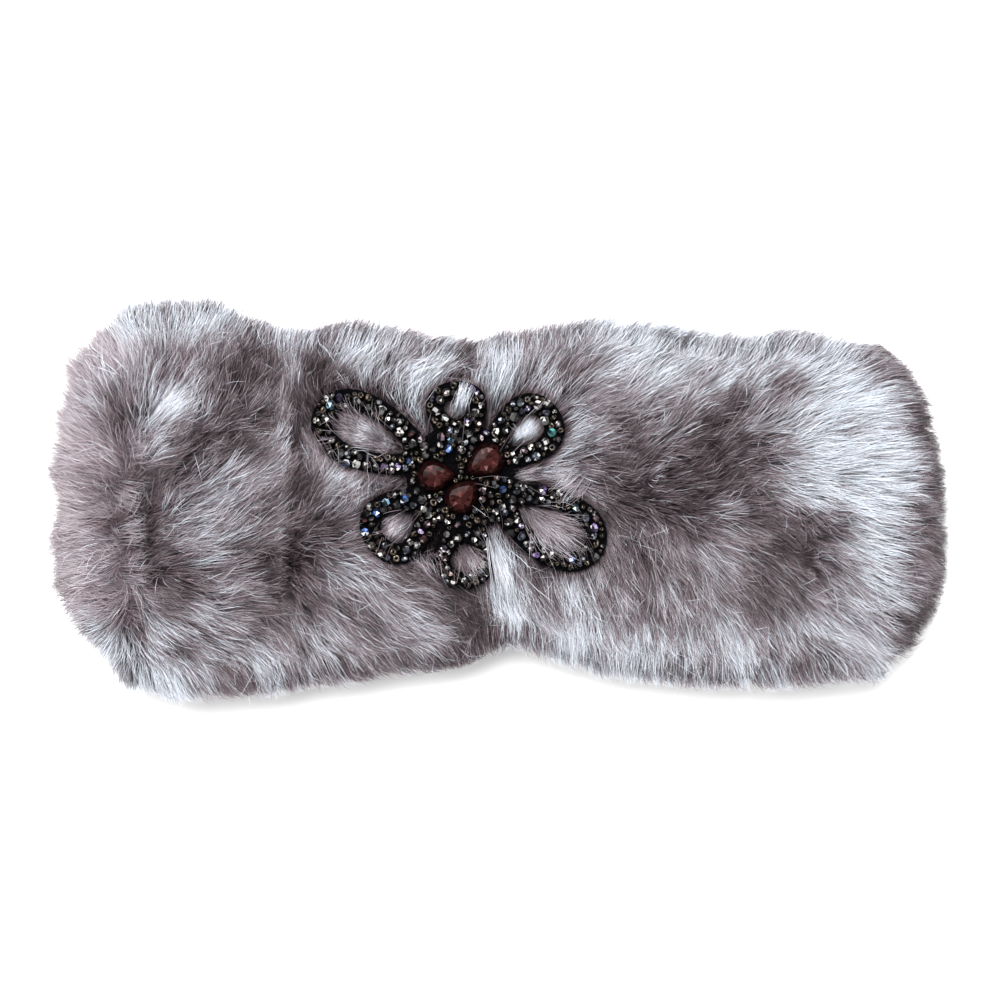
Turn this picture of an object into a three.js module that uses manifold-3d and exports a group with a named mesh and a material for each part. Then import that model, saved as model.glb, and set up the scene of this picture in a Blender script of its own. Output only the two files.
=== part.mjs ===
// Faux-fur ear-warmer headband, lying flat, with a beaded flower brooch sewn to its front.
//
// The band is one closed loop of fur cloth. Its axis runs along Y, and it lies folded on its back
// half, so the head opening is a flat slit that runs through along Y. The pile stands out round it.
// Units are millimetres, +Z is up, and +Y is the edge that is uppermost when the band is worn.
// The origin is the middle of the underside, on the surface that the band lies on.

import * as THREE from "three";
import { ConvexGeometry } from "three/addons/geometries/ConvexGeometry.js";
import { mergeVertices } from "three/addons/utils/BufferGeometryUtils.js";
import Module from "manifold-3d";

const wasm = await Module();
wasm.setup();

// ---------------------------------------------------------------- driving dimensions

const CLEARANCE = 0.3; // left between pieces that lie on each other
const CRYSTAL_CLEARANCE = 0.34; // left round a crystal in the beads
const HALF_LENGTH = 125; // of the pile, from the middle to a fold's outside
const END_ROUNDING = 16; // how far from its end the pile begins to round off
const END_THICKNESS = 0.16; // share of the pile's height that is left at its very end
const EDGE_PILE = 8; // pile that stands out past the cloth's two long edges
const UNDER_FLATNESS = 1.12; // how far the pile's round underside would sink if nothing held it
const CUSHION = { sides: 0.8, top: 0.7, under: 0.6 }; // 1 is an ellipse, less is squarer

const CLOTH_WALL = 2.5; // fur cloth with its lining
const BACK_PILE = 6; // pile pressed flat under the back half
const MIDDLE_GAP = 7; // open height of the flattened loop at its middle
const FOLD_GAP = 12; // open height beside the folds
const FOLD_CENTRE = 97; // x of the middle of each fold
const GAP_WIDENS = { from: 50, to: 92, steps: 6 }; // where the gap grows, from the middle out
const MID_HEIGHT = BACK_PILE + CLOTH_WALL + MIDDLE_GAP / 2; // of the loop's mid-plane

const BROOCH = { x: -11, y: 5.7 }; // the flower's centre
const BROOCH_SEAT = 26; // height to which the brooch presses the pile down
const PILE_AROUND_BROOCH = 0.8; // pile kept clear round the felt
const FELT_THICKNESS = 1.5;
const FELT_RIM = 0.6; // felt that shows outside the beads
const HUB_RADIUS = 14.4; // of the beaded centre
const PETAL_ROOT = 8; // distance from the centre at which a loop's outline closes
const PETAL_NARROWING = 0.33; // how much slimmer a loop is towards the centre
const BEAD_HEIGHT = 2.2; // of the embroidery above the felt
const CRYSTAL_HEIGHT = 4.4;
const PEAR = { taper: 0.42, pinch: 0.2 }; // how a crystal draws in to its point

// Outline of the pile from above and its height, at stations along the band.
const FUR_SECTIONS = [
  { x: -125, upper: 13, lower: -24, crown: 27 },
  { x: -121.5, upper: 29, lower: -32, crown: 28 },
  { x: -117, upper: 42.5, lower: -38, crown: 29 },
  { x: -109, upper: 49.5, lower: -47.5, crown: 30 },
  { x: -100, upper: 54.3, lower: -52.3, crown: 31 },
  { x: -90, upper: 55.5, lower: -55.5, crown: 33 },
  { x: -78, upper: 54, lower: -54.3, crown: 33 },
  { x: -69, upper: 48.6, lower: -53.6, crown: 31 },
  { x: -57, upper: 47.4, lower: -52, crown: 29.5 },
  { x: -44, upper: 48.2, lower: -49.5, crown: 30.5 },
  { x: -30, upper: 46.6, lower: -48, crown: 31 },
  { x: -16, upper: 43.6, lower: -46.6, crown: 30.5 },
  { x: -5, upper: 44.4, lower: -42.6, crown: 30 },
  { x: 3, upper: 45.3, lower: -39.6, crown: 30 },
  { x: 12, upper: 47.2, lower: -42.6, crown: 30.5 },
  { x: 32, upper: 49, lower: -48.4, crown: 31.5 },
  { x: 52, upper: 45.3, lower: -50, crown: 31 },
  { x: 66, upper: 45, lower: -51.8, crown: 31 },
  { x: 82, upper: 46.8, lower: -51.2, crown: 31 },
  { x: 98, upper: 43.8, lower: -50.2, crown: 30.5 },
  { x: 109, upper: 42, lower: -46.8, crown: 29 },
  { x: 117, upper: 31.5, lower: -38, crown: 28 },
  { x: 122, upper: 15, lower: -31, crown: 27 },
  { x: 125, upper: 0, lower: -22, crown: 26.5 },
];

// Valleys where the pile parts, each a straight trough with soft sides in the upper surface.
const PARTINGS = [
  { name: "left valley, upper half", from: [-57, 44], to: [-58, 12], width: 5, depth: 3.6 },
  { name: "left valley, lower half", from: [-58, 12], to: [-62, -26], width: 5.5, depth: 4 },
  { name: "parting above the brooch", from: [-7, 46], to: [-8, 33], width: 4, depth: 4.5 },
  { name: "parting below the brooch", from: [0, -42], to: [-2, -26], width: 4.5, depth: 5 },
  { name: "left fold line", from: [-98, 24], to: [-99, -32], width: 5, depth: 2.6 },
  { name: "swirl right of the brooch", from: [34, 4], to: [40, -2], width: 5, depth: 3 },
  { name: "swirl near the right fold", from: [78, -12], to: [84, -18], width: 5, depth: 3 },
];

// The six loops of the flower. Angles are from +X; lengths are from the flower's centre.
const PETALS = [
  { name: "upper_left", angle: 155, length: 44.5, halfWidth: 10.4, band: 5.6, holeFrom: 17.5 },
  { name: "top", angle: 94, length: 26.5, halfWidth: 8.4, band: 4.9, holeFrom: 16 },
  { name: "upper_right", angle: 36, length: 32.5, halfWidth: 9.3, band: 5.4, holeFrom: 15.9 },
  { name: "lower_right", angle: -28, length: 44, halfWidth: 10.4, band: 5.6, holeFrom: 17.5 },
  { name: "bottom", angle: -88, length: 30.5, halfWidth: 8.4, band: 4.6, holeFrom: 17.2 },
  { name: "lower_left", angle: 217, length: 32, halfWidth: 9.9, band: 5.5, holeFrom: 16.6 },
];

// The three pear-cut crystals: centre from the flower's centre, and where the point faces.
const CRYSTALS = [
  { name: "crystal_left", x: -6.6, y: 0.5, pointing: 5, length: 10.8, width: 8.2 },
  { name: "crystal_right", x: 6.3, y: 4.3, pointing: 211, length: 11.6, width: 8.6 },
  { name: "crystal_lower", x: 0.6, y: -4.9, pointing: 46, length: 10.9, width: 8.4 },
];

// The domed cross-section of the embroidery, as shares of its width and height.
const LOOP_DOME = [
  { across: 0, height: 0 },
  { across: 0.16, height: 0.72 },
  { across: 0.5, height: 1 },
  { across: 0.84, height: 0.72 },
  { across: 1, height: 0 },
];
const HUB_DOME = [
  { across: 0, height: 0 },
  { across: 1, height: 0 },
  { across: 0.93, height: 0.72 },
  { across: 0.79, height: 1 },
  { across: 0, height: 1.1 },
];

// The levels of a cut crystal, as shares of its outline and height, from back to table.
const CRYSTAL_CUT = [
  { outline: 0.8, height: 0, turn: 0 },
  { outline: 1, height: 0.3, turn: 0 },
  { outline: 0.86, height: 0.68, turn: 0.5 },
  { outline: 0.58, height: 1, turn: 0 },
];

// How finely the curved forms are divided.
const FUR_STATIONS = 54;
const FUR_TOP_STEPS = 22;
const FUR_UNDER_STEPS = 10;
const EDGE_STATIONS = 40;
const PETAL_STEPS = 30;
const HUB_STEPS = 40;
const FOLD_STEPS = 10;
const PEAR_STEPS = 14;

// Reaches that clear the whole band, for the tools that cut it.
const ABOVE_ALL = 60;
const BELOW_ALL = -1;
const PAST_EDGES = 70;

// ---------------------------------------------------------------- materials

const material = (color, roughness, metalness = 0) =>
  new THREE.MeshStandardMaterial({ color, roughness, metalness });

const FUR = material(0xa79ba0, 0.7);
const CLOTH = material(0x8d8286, 0.9);
const FELT = material(0x121216, 0.95);
const BEADS = material(0x5b5248, 0.3, 0.6);
const CRYSTAL = material(0x6e2434, 0.08);

// ---------------------------------------------------------------- helpers

const radians = THREE.MathUtils.degToRad;

// A closed mesh as a manifold solid, so that it can be joined or cut.
function solid(geometry) {
  const bare = new THREE.BufferGeometry();
  const source = geometry.index ? geometry.toNonIndexed() : geometry;
  bare.setAttribute("position", source.getAttribute("position"));
  const merged = mergeVertices(bare, 1e-4);
  return new wasm.Manifold(
    new wasm.Mesh({
      numProp: 3,
      vertProperties: merged.attributes.position.array,
      triVerts: new Uint32Array(merged.index.array),
    }),
  );
}

// The geometry of a manifold solid.
function geometryOf(manifold) {
  const mesh = manifold.getMesh();
  const geometry = new THREE.BufferGeometry();
  geometry.setAttribute("position", new THREE.BufferAttribute(mesh.vertProperties, 3));
  geometry.setIndex(new THREE.BufferAttribute(mesh.triVerts, 1));
  geometry.computeVertexNormals();
  return geometry;
}

// A skin over rings of points. An open row of rings gets a fan of faces at each end; a closed
// one joins its last ring to its first.
function loft(rings, closed) {
  const count = rings[0].length;
  const points = rings.flat();
  const faces = [];
  const bands = closed ? rings.length : rings.length - 1;
  for (let i = 0; i < bands; i++) {
    for (let j = 0; j < count; j++) {
      const here = i * count;
      const next = ((i + 1) % rings.length) * count;
      const k = (j + 1) % count;
      faces.push(here + j, here + k, next + k, here + j, next + k, next + j);
    }
  }
  if (!closed) {
    const last = (rings.length - 1) * count;
    for (let j = 1; j < count - 1; j++) {
      faces.push(0, j + 1, j);
      faces.push(last, last + j, last + j + 1);
    }
  }
  const geometry = new THREE.BufferGeometry().setFromPoints(points);
  geometry.setIndex(faces);
  return geometry;
}

// A flat outline, an array of Vector2, made into a prism from one height to another.
function prism(outline, from, to) {
  const geometry = new THREE.ExtrudeGeometry(new THREE.Shape(outline), {
    depth: to - from,
    bevelEnabled: false,
  });
  return solid(geometry.translate(0, 0, from));
}

// The smooth value of a table's column at x, with no overshoot between its rows.
function column(rows, name) {
  const slopes = rows.slice(1).map((row, i) => (row[name] - rows[i][name]) / (row.x - rows[i].x));
  const tangents = rows.map((_, i) => {
    const before = slopes[i - 1] ?? slopes[i];
    const after = slopes[i] ?? slopes[i - 1];
    return before * after > 0 ? (2 * before * after) / (before + after) : 0;
  });
  return (x) => {
    const next = rows.findIndex((row, i) => i > 0 && row.x >= x);
    const i = (next < 0 ? rows.length - 1 : next) - 1;
    const span = rows[i + 1].x - rows[i].x;
    const t = THREE.MathUtils.clamp((x - rows[i].x) / span, 0, 1);
    return (
      rows[i][name] * (2 * t ** 3 - 3 * t ** 2 + 1) +
      tangents[i] * span * (t ** 3 - 2 * t ** 2 + t) +
      rows[i + 1][name] * (3 * t ** 2 - 2 * t ** 3) +
      tangents[i + 1] * span * (t ** 3 - t ** 2)
    );
  };
}

const upperEdge = column(FUR_SECTIONS, "upper");
const lowerEdge = column(FUR_SECTIONS, "lower");
const crownHeight = column(FUR_SECTIONS, "crown");

// ---------------------------------------------------------------- the band

// A closed outline in the XZ plane at a distance outside the loop's inner face: two long runs
// that draw apart towards the folds, and a half circle round each fold.
function loopOutline(outset) {
  const halfGap = (x) => {
    const open = THREE.MathUtils.smoothstep(Math.abs(x), GAP_WIDENS.from, GAP_WIDENS.to);
    return THREE.MathUtils.lerp(MIDDLE_GAP, FOLD_GAP, open) / 2 + outset;
  };
  const widening = Array.from({ length: GAP_WIDENS.steps + 1 }, (_, i) =>
    THREE.MathUtils.lerp(GAP_WIDENS.from, GAP_WIDENS.to, i / GAP_WIDENS.steps),
  );
  const outline = [];
  for (const side of [1, -1]) {
    for (let i = 1; i <= FOLD_STEPS; i++) {
      const angle = -Math.PI / 2 + (i / FOLD_STEPS) * Math.PI;
      const reach = (FOLD_GAP / 2 + outset) * Math.cos(angle);
      const height = (FOLD_GAP / 2 + outset) * Math.sin(angle);
      outline.push(new THREE.Vector2(side * (FOLD_CENTRE + reach), MID_HEIGHT + side * height));
    }
    for (const x of [...widening.toReversed(), ...widening.map((distance) => -distance)]) {
      outline.push(new THREE.Vector2(side * x, MID_HEIGHT + side * halfGap(x)));
    }
  }
  return outline;
}

// The loop outline as a solid that runs through along Y.
function loopPrism(outset, halfDepth) {
  const shape = new THREE.Shape(loopOutline(outset));
  const geometry = new THREE.ExtrudeGeometry(shape, { depth: 2 * halfDepth, bevelEnabled: false });
  return solid(geometry.rotateX(Math.PI / 2).translate(0, halfDepth, 0));
}

// The cloth's cut seen from above, inside the pile's outline, as a tall prism.
function clothCut(outset) {
  const reach = FOLD_CENTRE + FOLD_GAP / 2 + CLOTH_WALL + 1;
  const inset = EDGE_PILE - outset;
  const stations = Array.from({ length: EDGE_STATIONS + 1 }, (_, i) =>
    THREE.MathUtils.lerp(-reach, reach, i / EDGE_STATIONS),
  );
  const lower = stations.map((x) => new THREE.Vector2(x, lowerEdge(x) + inset));
  const upper = stations.map((x) => new THREE.Vector2(x, upperEdge(x) - inset)).reverse();
  return prism([...lower, ...upper], BELOW_ALL, ABOVE_ALL);
}

function clothLoop() {
  const opening = loopPrism(0, PAST_EDGES + 1);
  return loopPrism(CLOTH_WALL, PAST_EDGES).subtract(opening).intersect(clothCut(0));
}

// How far the partings lower the pile's surface at a point.
function partingDepth(x, y) {
  return PARTINGS.reduce((sum, { from, to, width, depth }) => {
    const line = new THREE.Line3(new THREE.Vector3(...from), new THREE.Vector3(...to));
    const point = new THREE.Vector3(x, y, 0);
    const away = line.closestPointToPoint(point, true, new THREE.Vector3()).distanceTo(point);
    return sum + depth * Math.exp(-((away / width) ** 2));
  }, 0);
}

// One section of the pile across the band: a cushion above, pressed flat below.
function furSection(x) {
  const beyond = Math.max(0, Math.abs(x) - (HALF_LENGTH - END_ROUNDING)) / END_ROUNDING;
  const rounding = Math.max(END_THICKNESS, Math.sqrt(1 - beyond ** 2));
  const middle = (upperEdge(x) + lowerEdge(x)) / 2;
  const halfWidth = (upperEdge(x) - lowerEdge(x)) / 2;
  const above = (crownHeight(x) - MID_HEIGHT) * rounding;
  const below = MID_HEIGHT * UNDER_FLATNESS * rounding;
  const spread = (value, power) => Math.sign(value) * Math.abs(value) ** power;
  const across = (angle) => middle + halfWidth * spread(Math.cos(angle), CUSHION.sides);
  const ring = [];
  for (let i = 0; i < FUR_TOP_STEPS; i++) {
    const angle = (Math.PI * i) / FUR_TOP_STEPS;
    const y = across(angle);
    const z = MID_HEIGHT + above * spread(Math.sin(angle), CUSHION.top);
    const share = Math.sin(angle) * rounding;
    ring.push(new THREE.Vector3(x, y, z - partingDepth(x, y) * share));
  }
  for (let i = 0; i < FUR_UNDER_STEPS; i++) {
    const angle = Math.PI * (1 + i / FUR_UNDER_STEPS);
    const z = MID_HEIGHT + below * spread(Math.sin(angle), CUSHION.under);
    ring.push(new THREE.Vector3(x, across(angle), Math.max(0, z)));
  }
  return ring;
}

// The pile's outer form, before the loop and the brooch are let into it. Its stations stand
// closer together towards the ends, where the form rounds off.
function furForm() {
  const rings = Array.from({ length: FUR_STATIONS }, (_, i) => {
    const along = (2 * i) / (FUR_STATIONS - 1) - 1;
    const crowded = THREE.MathUtils.lerp(along, Math.sin((along * Math.PI) / 2), 1 / 3);
    return furSection(HALF_LENGTH * crowded);
  });
  return solid(loft(rings, false));
}

function furPile() {
  const cloth = loopPrism(CLOTH_WALL + CLEARANCE, PAST_EDGES).intersect(clothCut(CLEARANCE));
  const opening = loopPrism(0, PAST_EDGES + 1);
  const seat = flowerPlan(PILE_AROUND_BROOCH, BROOCH_SEAT, ABOVE_ALL);
  return furForm().subtract(cloth).subtract(opening).subtract(seat);
}

// ---------------------------------------------------------------- the brooch

// The egg is widest where its sine times its fullness is greatest; this makes that width 1.
const WIDEST_EGG = Math.max(
  ...Array.from({ length: PETAL_STEPS }, (_, i) => {
    const angle = (Math.PI * i) / PETAL_STEPS;
    return Math.sin(angle) * (1 - PETAL_NARROWING * Math.cos(angle));
  }),
);

// An egg-shaped outline along a petal's direction, narrow end at the flower's centre.
function egg(petal, from, to, halfWidth) {
  const turn = radians(petal.angle);
  return Array.from({ length: PETAL_STEPS }, (_, i) => {
    const angle = (2 * Math.PI * i) / PETAL_STEPS;
    const along = (from + to) / 2 - ((to - from) / 2) * Math.cos(angle);
    const fullness = (1 - PETAL_NARROWING * Math.cos(angle)) / WIDEST_EGG;
    const across = -halfWidth * Math.sin(angle) * fullness;
    return new THREE.Vector2(along, across)
      .rotateAround(new THREE.Vector2(), turn)
      .add(new THREE.Vector2(BROOCH.x, BROOCH.y));
  });
}

const petalOutline = (petal, outset) =>
  egg(petal, PETAL_ROOT, petal.length + outset, petal.halfWidth + outset);

const petalHole = (petal, outset) =>
  egg(
    petal,
    petal.holeFrom - outset,
    petal.length - petal.band + outset,
    petal.halfWidth - petal.band + outset,
  );

// A circle about the flower's centre.
function hubOutline(radius) {
  const circle = new THREE.EllipseCurve(BROOCH.x, BROOCH.y, radius, radius);
  return circle.getPoints(HUB_STEPS).slice(0, -1);
}

// The whole flower seen from above, its loops open, grown outwards and into its holes.
function flowerPlan(outset, from, to) {
  const loops = PETALS.map((petal) => prism(petalOutline(petal, outset), from, to));
  const holes = PETALS.map((petal) => prism(petalHole(petal, -outset), from - 1, to + 1));
  const hub = prism(hubOutline(HUB_RADIUS + FELT_RIM + outset), from, to);
  return loops.reduce((sum, loop) => sum.add(loop), hub).subtract(wasm.Manifold.union(holes));
}

const FELT_BOTTOM = BROOCH_SEAT + CLEARANCE;
const FELT_TOP = FELT_BOTTOM + FELT_THICKNESS;
const BEADS_BOTTOM = FELT_TOP + CLEARANCE;

function feltBase() {
  return flowerPlan(0, FELT_BOTTOM, FELT_TOP);
}

// The beads of one loop, as a domed band between the felt's two rims.
function petalBeads(petal) {
  const outer = petalOutline(petal, -FELT_RIM);
  const inner = petalHole(petal, FELT_RIM);
  const rings = outer.map((edge, i) =>
    LOOP_DOME.map(({ across, height }) => {
      const flat = inner[i].clone().lerp(edge, across);
      return new THREE.Vector3(flat.x, flat.y, BEADS_BOTTOM + BEAD_HEIGHT * height);
    }),
  );
  const aroundHub = prism(hubOutline(HUB_RADIUS + CLEARANCE), BROOCH_SEAT, ABOVE_ALL);
  return solid(loft(rings, true)).subtract(aroundHub);
}

// A pear shape with its point along +X, centred on its own length.
function pear(crystal, scale, height, turn = 0) {
  return Array.from({ length: PEAR_STEPS }, (_, i) => {
    const angle = (2 * Math.PI * (i + turn)) / PEAR_STEPS;
    const along = (crystal.length / 2) * Math.cos(angle) * scale;
    const fullness = 1 - PEAR.taper * Math.cos(angle) - PEAR.pinch * Math.cos(angle) ** 2;
    const across = (crystal.width / 2) * Math.sin(angle) * fullness * scale;
    const flat = new THREE.Vector2(along, across)
      .rotateAround(new THREE.Vector2(), radians(crystal.pointing))
      .add(new THREE.Vector2(BROOCH.x + crystal.x, BROOCH.y + crystal.y));
    return new THREE.Vector3(flat.x, flat.y, height);
  });
}

// A cut crystal: flat back, girdle, a ring of crown facets and a flat table.
function crystalCut(crystal) {
  const levels = CRYSTAL_CUT.map(({ outline, height, turn }) =>
    pear(crystal, outline, BEADS_BOTTOM + height * CRYSTAL_HEIGHT, turn),
  );
  return new ConvexGeometry(levels.flat());
}

// The beaded centre, with a seat cut round each crystal.
function hubBeads() {
  const profile = HUB_DOME.map(
    ({ across, height }) => new THREE.Vector2(across * HUB_RADIUS, height * BEAD_HEIGHT),
  );
  const disc = new THREE.LatheGeometry(profile, HUB_STEPS)
    .rotateX(Math.PI / 2)
    .translate(BROOCH.x, BROOCH.y, BEADS_BOTTOM);
  const seats = CRYSTALS.map((crystal) => {
    const grown = 1 + (2 * CRYSTAL_CLEARANCE) / crystal.width;
    const outline = pear(crystal, grown, 0).map(({ x, y }) => new THREE.Vector2(x, y));
    return prism(outline, BROOCH_SEAT, ABOVE_ALL);
  });
  return solid(disc).subtract(wasm.Manifold.union(seats));
}

// ---------------------------------------------------------------- assembly

function piece(name, geometry, finish) {
  const mesh = new THREE.Mesh(geometry, finish);
  mesh.name = name;
  return mesh;
}

const band = new THREE.Group();
band.add(
  piece("fur_pile", geometryOf(furPile()), FUR),
  piece("cloth_loop", geometryOf(clothLoop()), CLOTH),
);

const brooch = new THREE.Group();
brooch.add(
  piece("brooch_felt", geometryOf(feltBase()), FELT),
  piece("hub_beads", geometryOf(hubBeads()), BEADS),
  ...PETALS.map((petal) => piece(`petal_beads_${petal.name}`, geometryOf(petalBeads(petal)), BEADS)),
  ...CRYSTALS.map((crystal) => piece(crystal.name, crystalCut(crystal), CRYSTAL)),
);

const headband = new THREE.Group();
headband.add(band, brooch);

// The origin is the middle of the bounding box's underside.
const extent = new THREE.Box3().setFromObject(headband);
const centre = extent.getCenter(new THREE.Vector3());
headband.position.set(-centre.x, -centre.y, -extent.min.z);

export default headband;
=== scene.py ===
"""Looks of a faux-fur ear-warmer headband that lies flat, with a beaded flower brooch.

The pile is grown strand by strand on a combed skin that lies a little inside the CAD pile. The
brooch is black felt with beads strewn on its loops and three cut crystals at its centre.
All lengths are in metres unless a comment says otherwise.
"""

import math

import bmesh
import bpy
import numpy as np
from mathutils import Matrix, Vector
from mathutils.bvhtree import BVHTree


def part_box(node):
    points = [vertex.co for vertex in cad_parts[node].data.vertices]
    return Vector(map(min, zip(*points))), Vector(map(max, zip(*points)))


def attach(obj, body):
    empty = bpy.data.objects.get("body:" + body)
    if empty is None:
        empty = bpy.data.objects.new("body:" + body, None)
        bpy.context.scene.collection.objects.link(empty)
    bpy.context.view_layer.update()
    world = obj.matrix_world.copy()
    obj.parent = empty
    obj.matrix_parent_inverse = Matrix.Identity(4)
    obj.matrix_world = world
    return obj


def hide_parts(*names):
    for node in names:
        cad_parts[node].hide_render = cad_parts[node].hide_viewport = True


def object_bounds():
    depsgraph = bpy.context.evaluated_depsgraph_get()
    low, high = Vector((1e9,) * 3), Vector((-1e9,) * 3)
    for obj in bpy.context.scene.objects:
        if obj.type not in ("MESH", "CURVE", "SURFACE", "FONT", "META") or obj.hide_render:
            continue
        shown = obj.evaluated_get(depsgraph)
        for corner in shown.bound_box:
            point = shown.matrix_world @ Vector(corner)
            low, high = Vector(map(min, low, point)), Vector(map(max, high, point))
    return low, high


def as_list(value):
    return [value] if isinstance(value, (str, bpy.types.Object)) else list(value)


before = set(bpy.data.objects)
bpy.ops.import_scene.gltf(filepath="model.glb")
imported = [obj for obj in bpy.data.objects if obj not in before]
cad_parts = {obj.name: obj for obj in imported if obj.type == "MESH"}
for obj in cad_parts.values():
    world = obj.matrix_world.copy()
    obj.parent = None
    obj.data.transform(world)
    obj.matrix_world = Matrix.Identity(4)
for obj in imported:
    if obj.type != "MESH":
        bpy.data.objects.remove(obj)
CAD_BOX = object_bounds()

bl_info = {
    "name": "Fur Headband",
    "version": (1, 0, 0),
    "blender": (4, 5, 0),
    "location": "3D View > Sidebar > Headband",
    "description": "Grows the pile, beads and cloth of a fur headband on its packed frame",
    "category": "Object",
}

MM = 0.001
PETALS = ("upper_left", "top", "upper_right", "lower_right", "bottom", "lower_left")
BEAD_NODES = ("hub_beads",) + tuple(f"petal_beads_{name}" for name in PETALS)
CRYSTAL_NODES = ("crystal_left", "crystal_right", "crystal_lower")
UP, DOWN = Vector((0, 0, 1)), Vector((0, 0, -1))
SQUARE = ((-1, -1), (1, -1), (1, 1), (-1, 1))
# The flower's middle and reach in millimetres.
FLOWER = (-11, 6, 42)
# Heights from which rays are cast at the band: above it, and further out than any of it.
ABOVE, FAR = 60 * MM, 80 * MM
TINY = 1e-6

# The map from which hairs and beads read their colours, and how much of it a hair's width takes.
CHART = "OFBake"
TONE_WIDTH = 0.0015
# What the points of the combed skin and of the single locks carry for their hairs.
GROOM = ("comb", "lift", "length", "tone", "cover", "over", "calm", "room", "parting")
LOCK_GROOM = ("way", "bow", "side", "low", "top", "end", "tone")
# The kinds of sockets for the values that a tree takes.
KINDS = {float: "Float", int: "Int", bpy.types.Object: "Object", bpy.types.Material: "Material"}

# How the comb is read between its rows: the blur in millimetres and how fast a row's share falls
# off. Where the rows agree less than this the pile parts, and there it stands at this angle.
COMB_BLUR, COMB_FALLOFF = 3.0, 2.5
AGREED, PARTED_LIFT = 0.85, math.radians(52)
# How far along its run a hair takes its tone from the charts, as a share, and what the charts'
# tones are multiplied by and darkened by.
TIP_SHARE = 0.7
CONTRAST, DARKENING = 1.35, 0.22
# Painted shade round the pile's rims, deeper at the upper edge and at the folds, as shares of its tone,
# and the lift that its hairs have there at least.
RIM_SHADE, UPPER_SHADE, FOLD_SHADE = 0.45, 0.3, 0.4
RIM_LIFT = math.radians(48)
# How much thicker the hairs stand in the flower's loops, round the rims and at the folds, and
# how thickly under the felt.
HOLE_THICK, RIM_THICK, FOLD_THICK, COVERED_THICK = 0.6, 0.15, 0.25, 0.45
# The pressed back half: lift in radians, length, tone and thickness.
BACK = (0.5, 10 * MM, 0.42, 0.2)
# The skin's rows round the loop and its points across the band, how far outside the cloth it
# stays, and how much its rims are rounded.
ROW_SPACING, COLUMNS = 3 * MM, 45
CLOTH_GAP, RIM_SWELL = 0.5 * MM, 0.8 * MM
# The least and the most height that is left for the hairs above their skin.
LEAST_ROOM, MOST_ROOM = 1.5 * MM, 9 * MM
# How many ways a place is looked round from, to tell whether it lies in one of the flower's holes.
WAYS = 8
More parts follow.
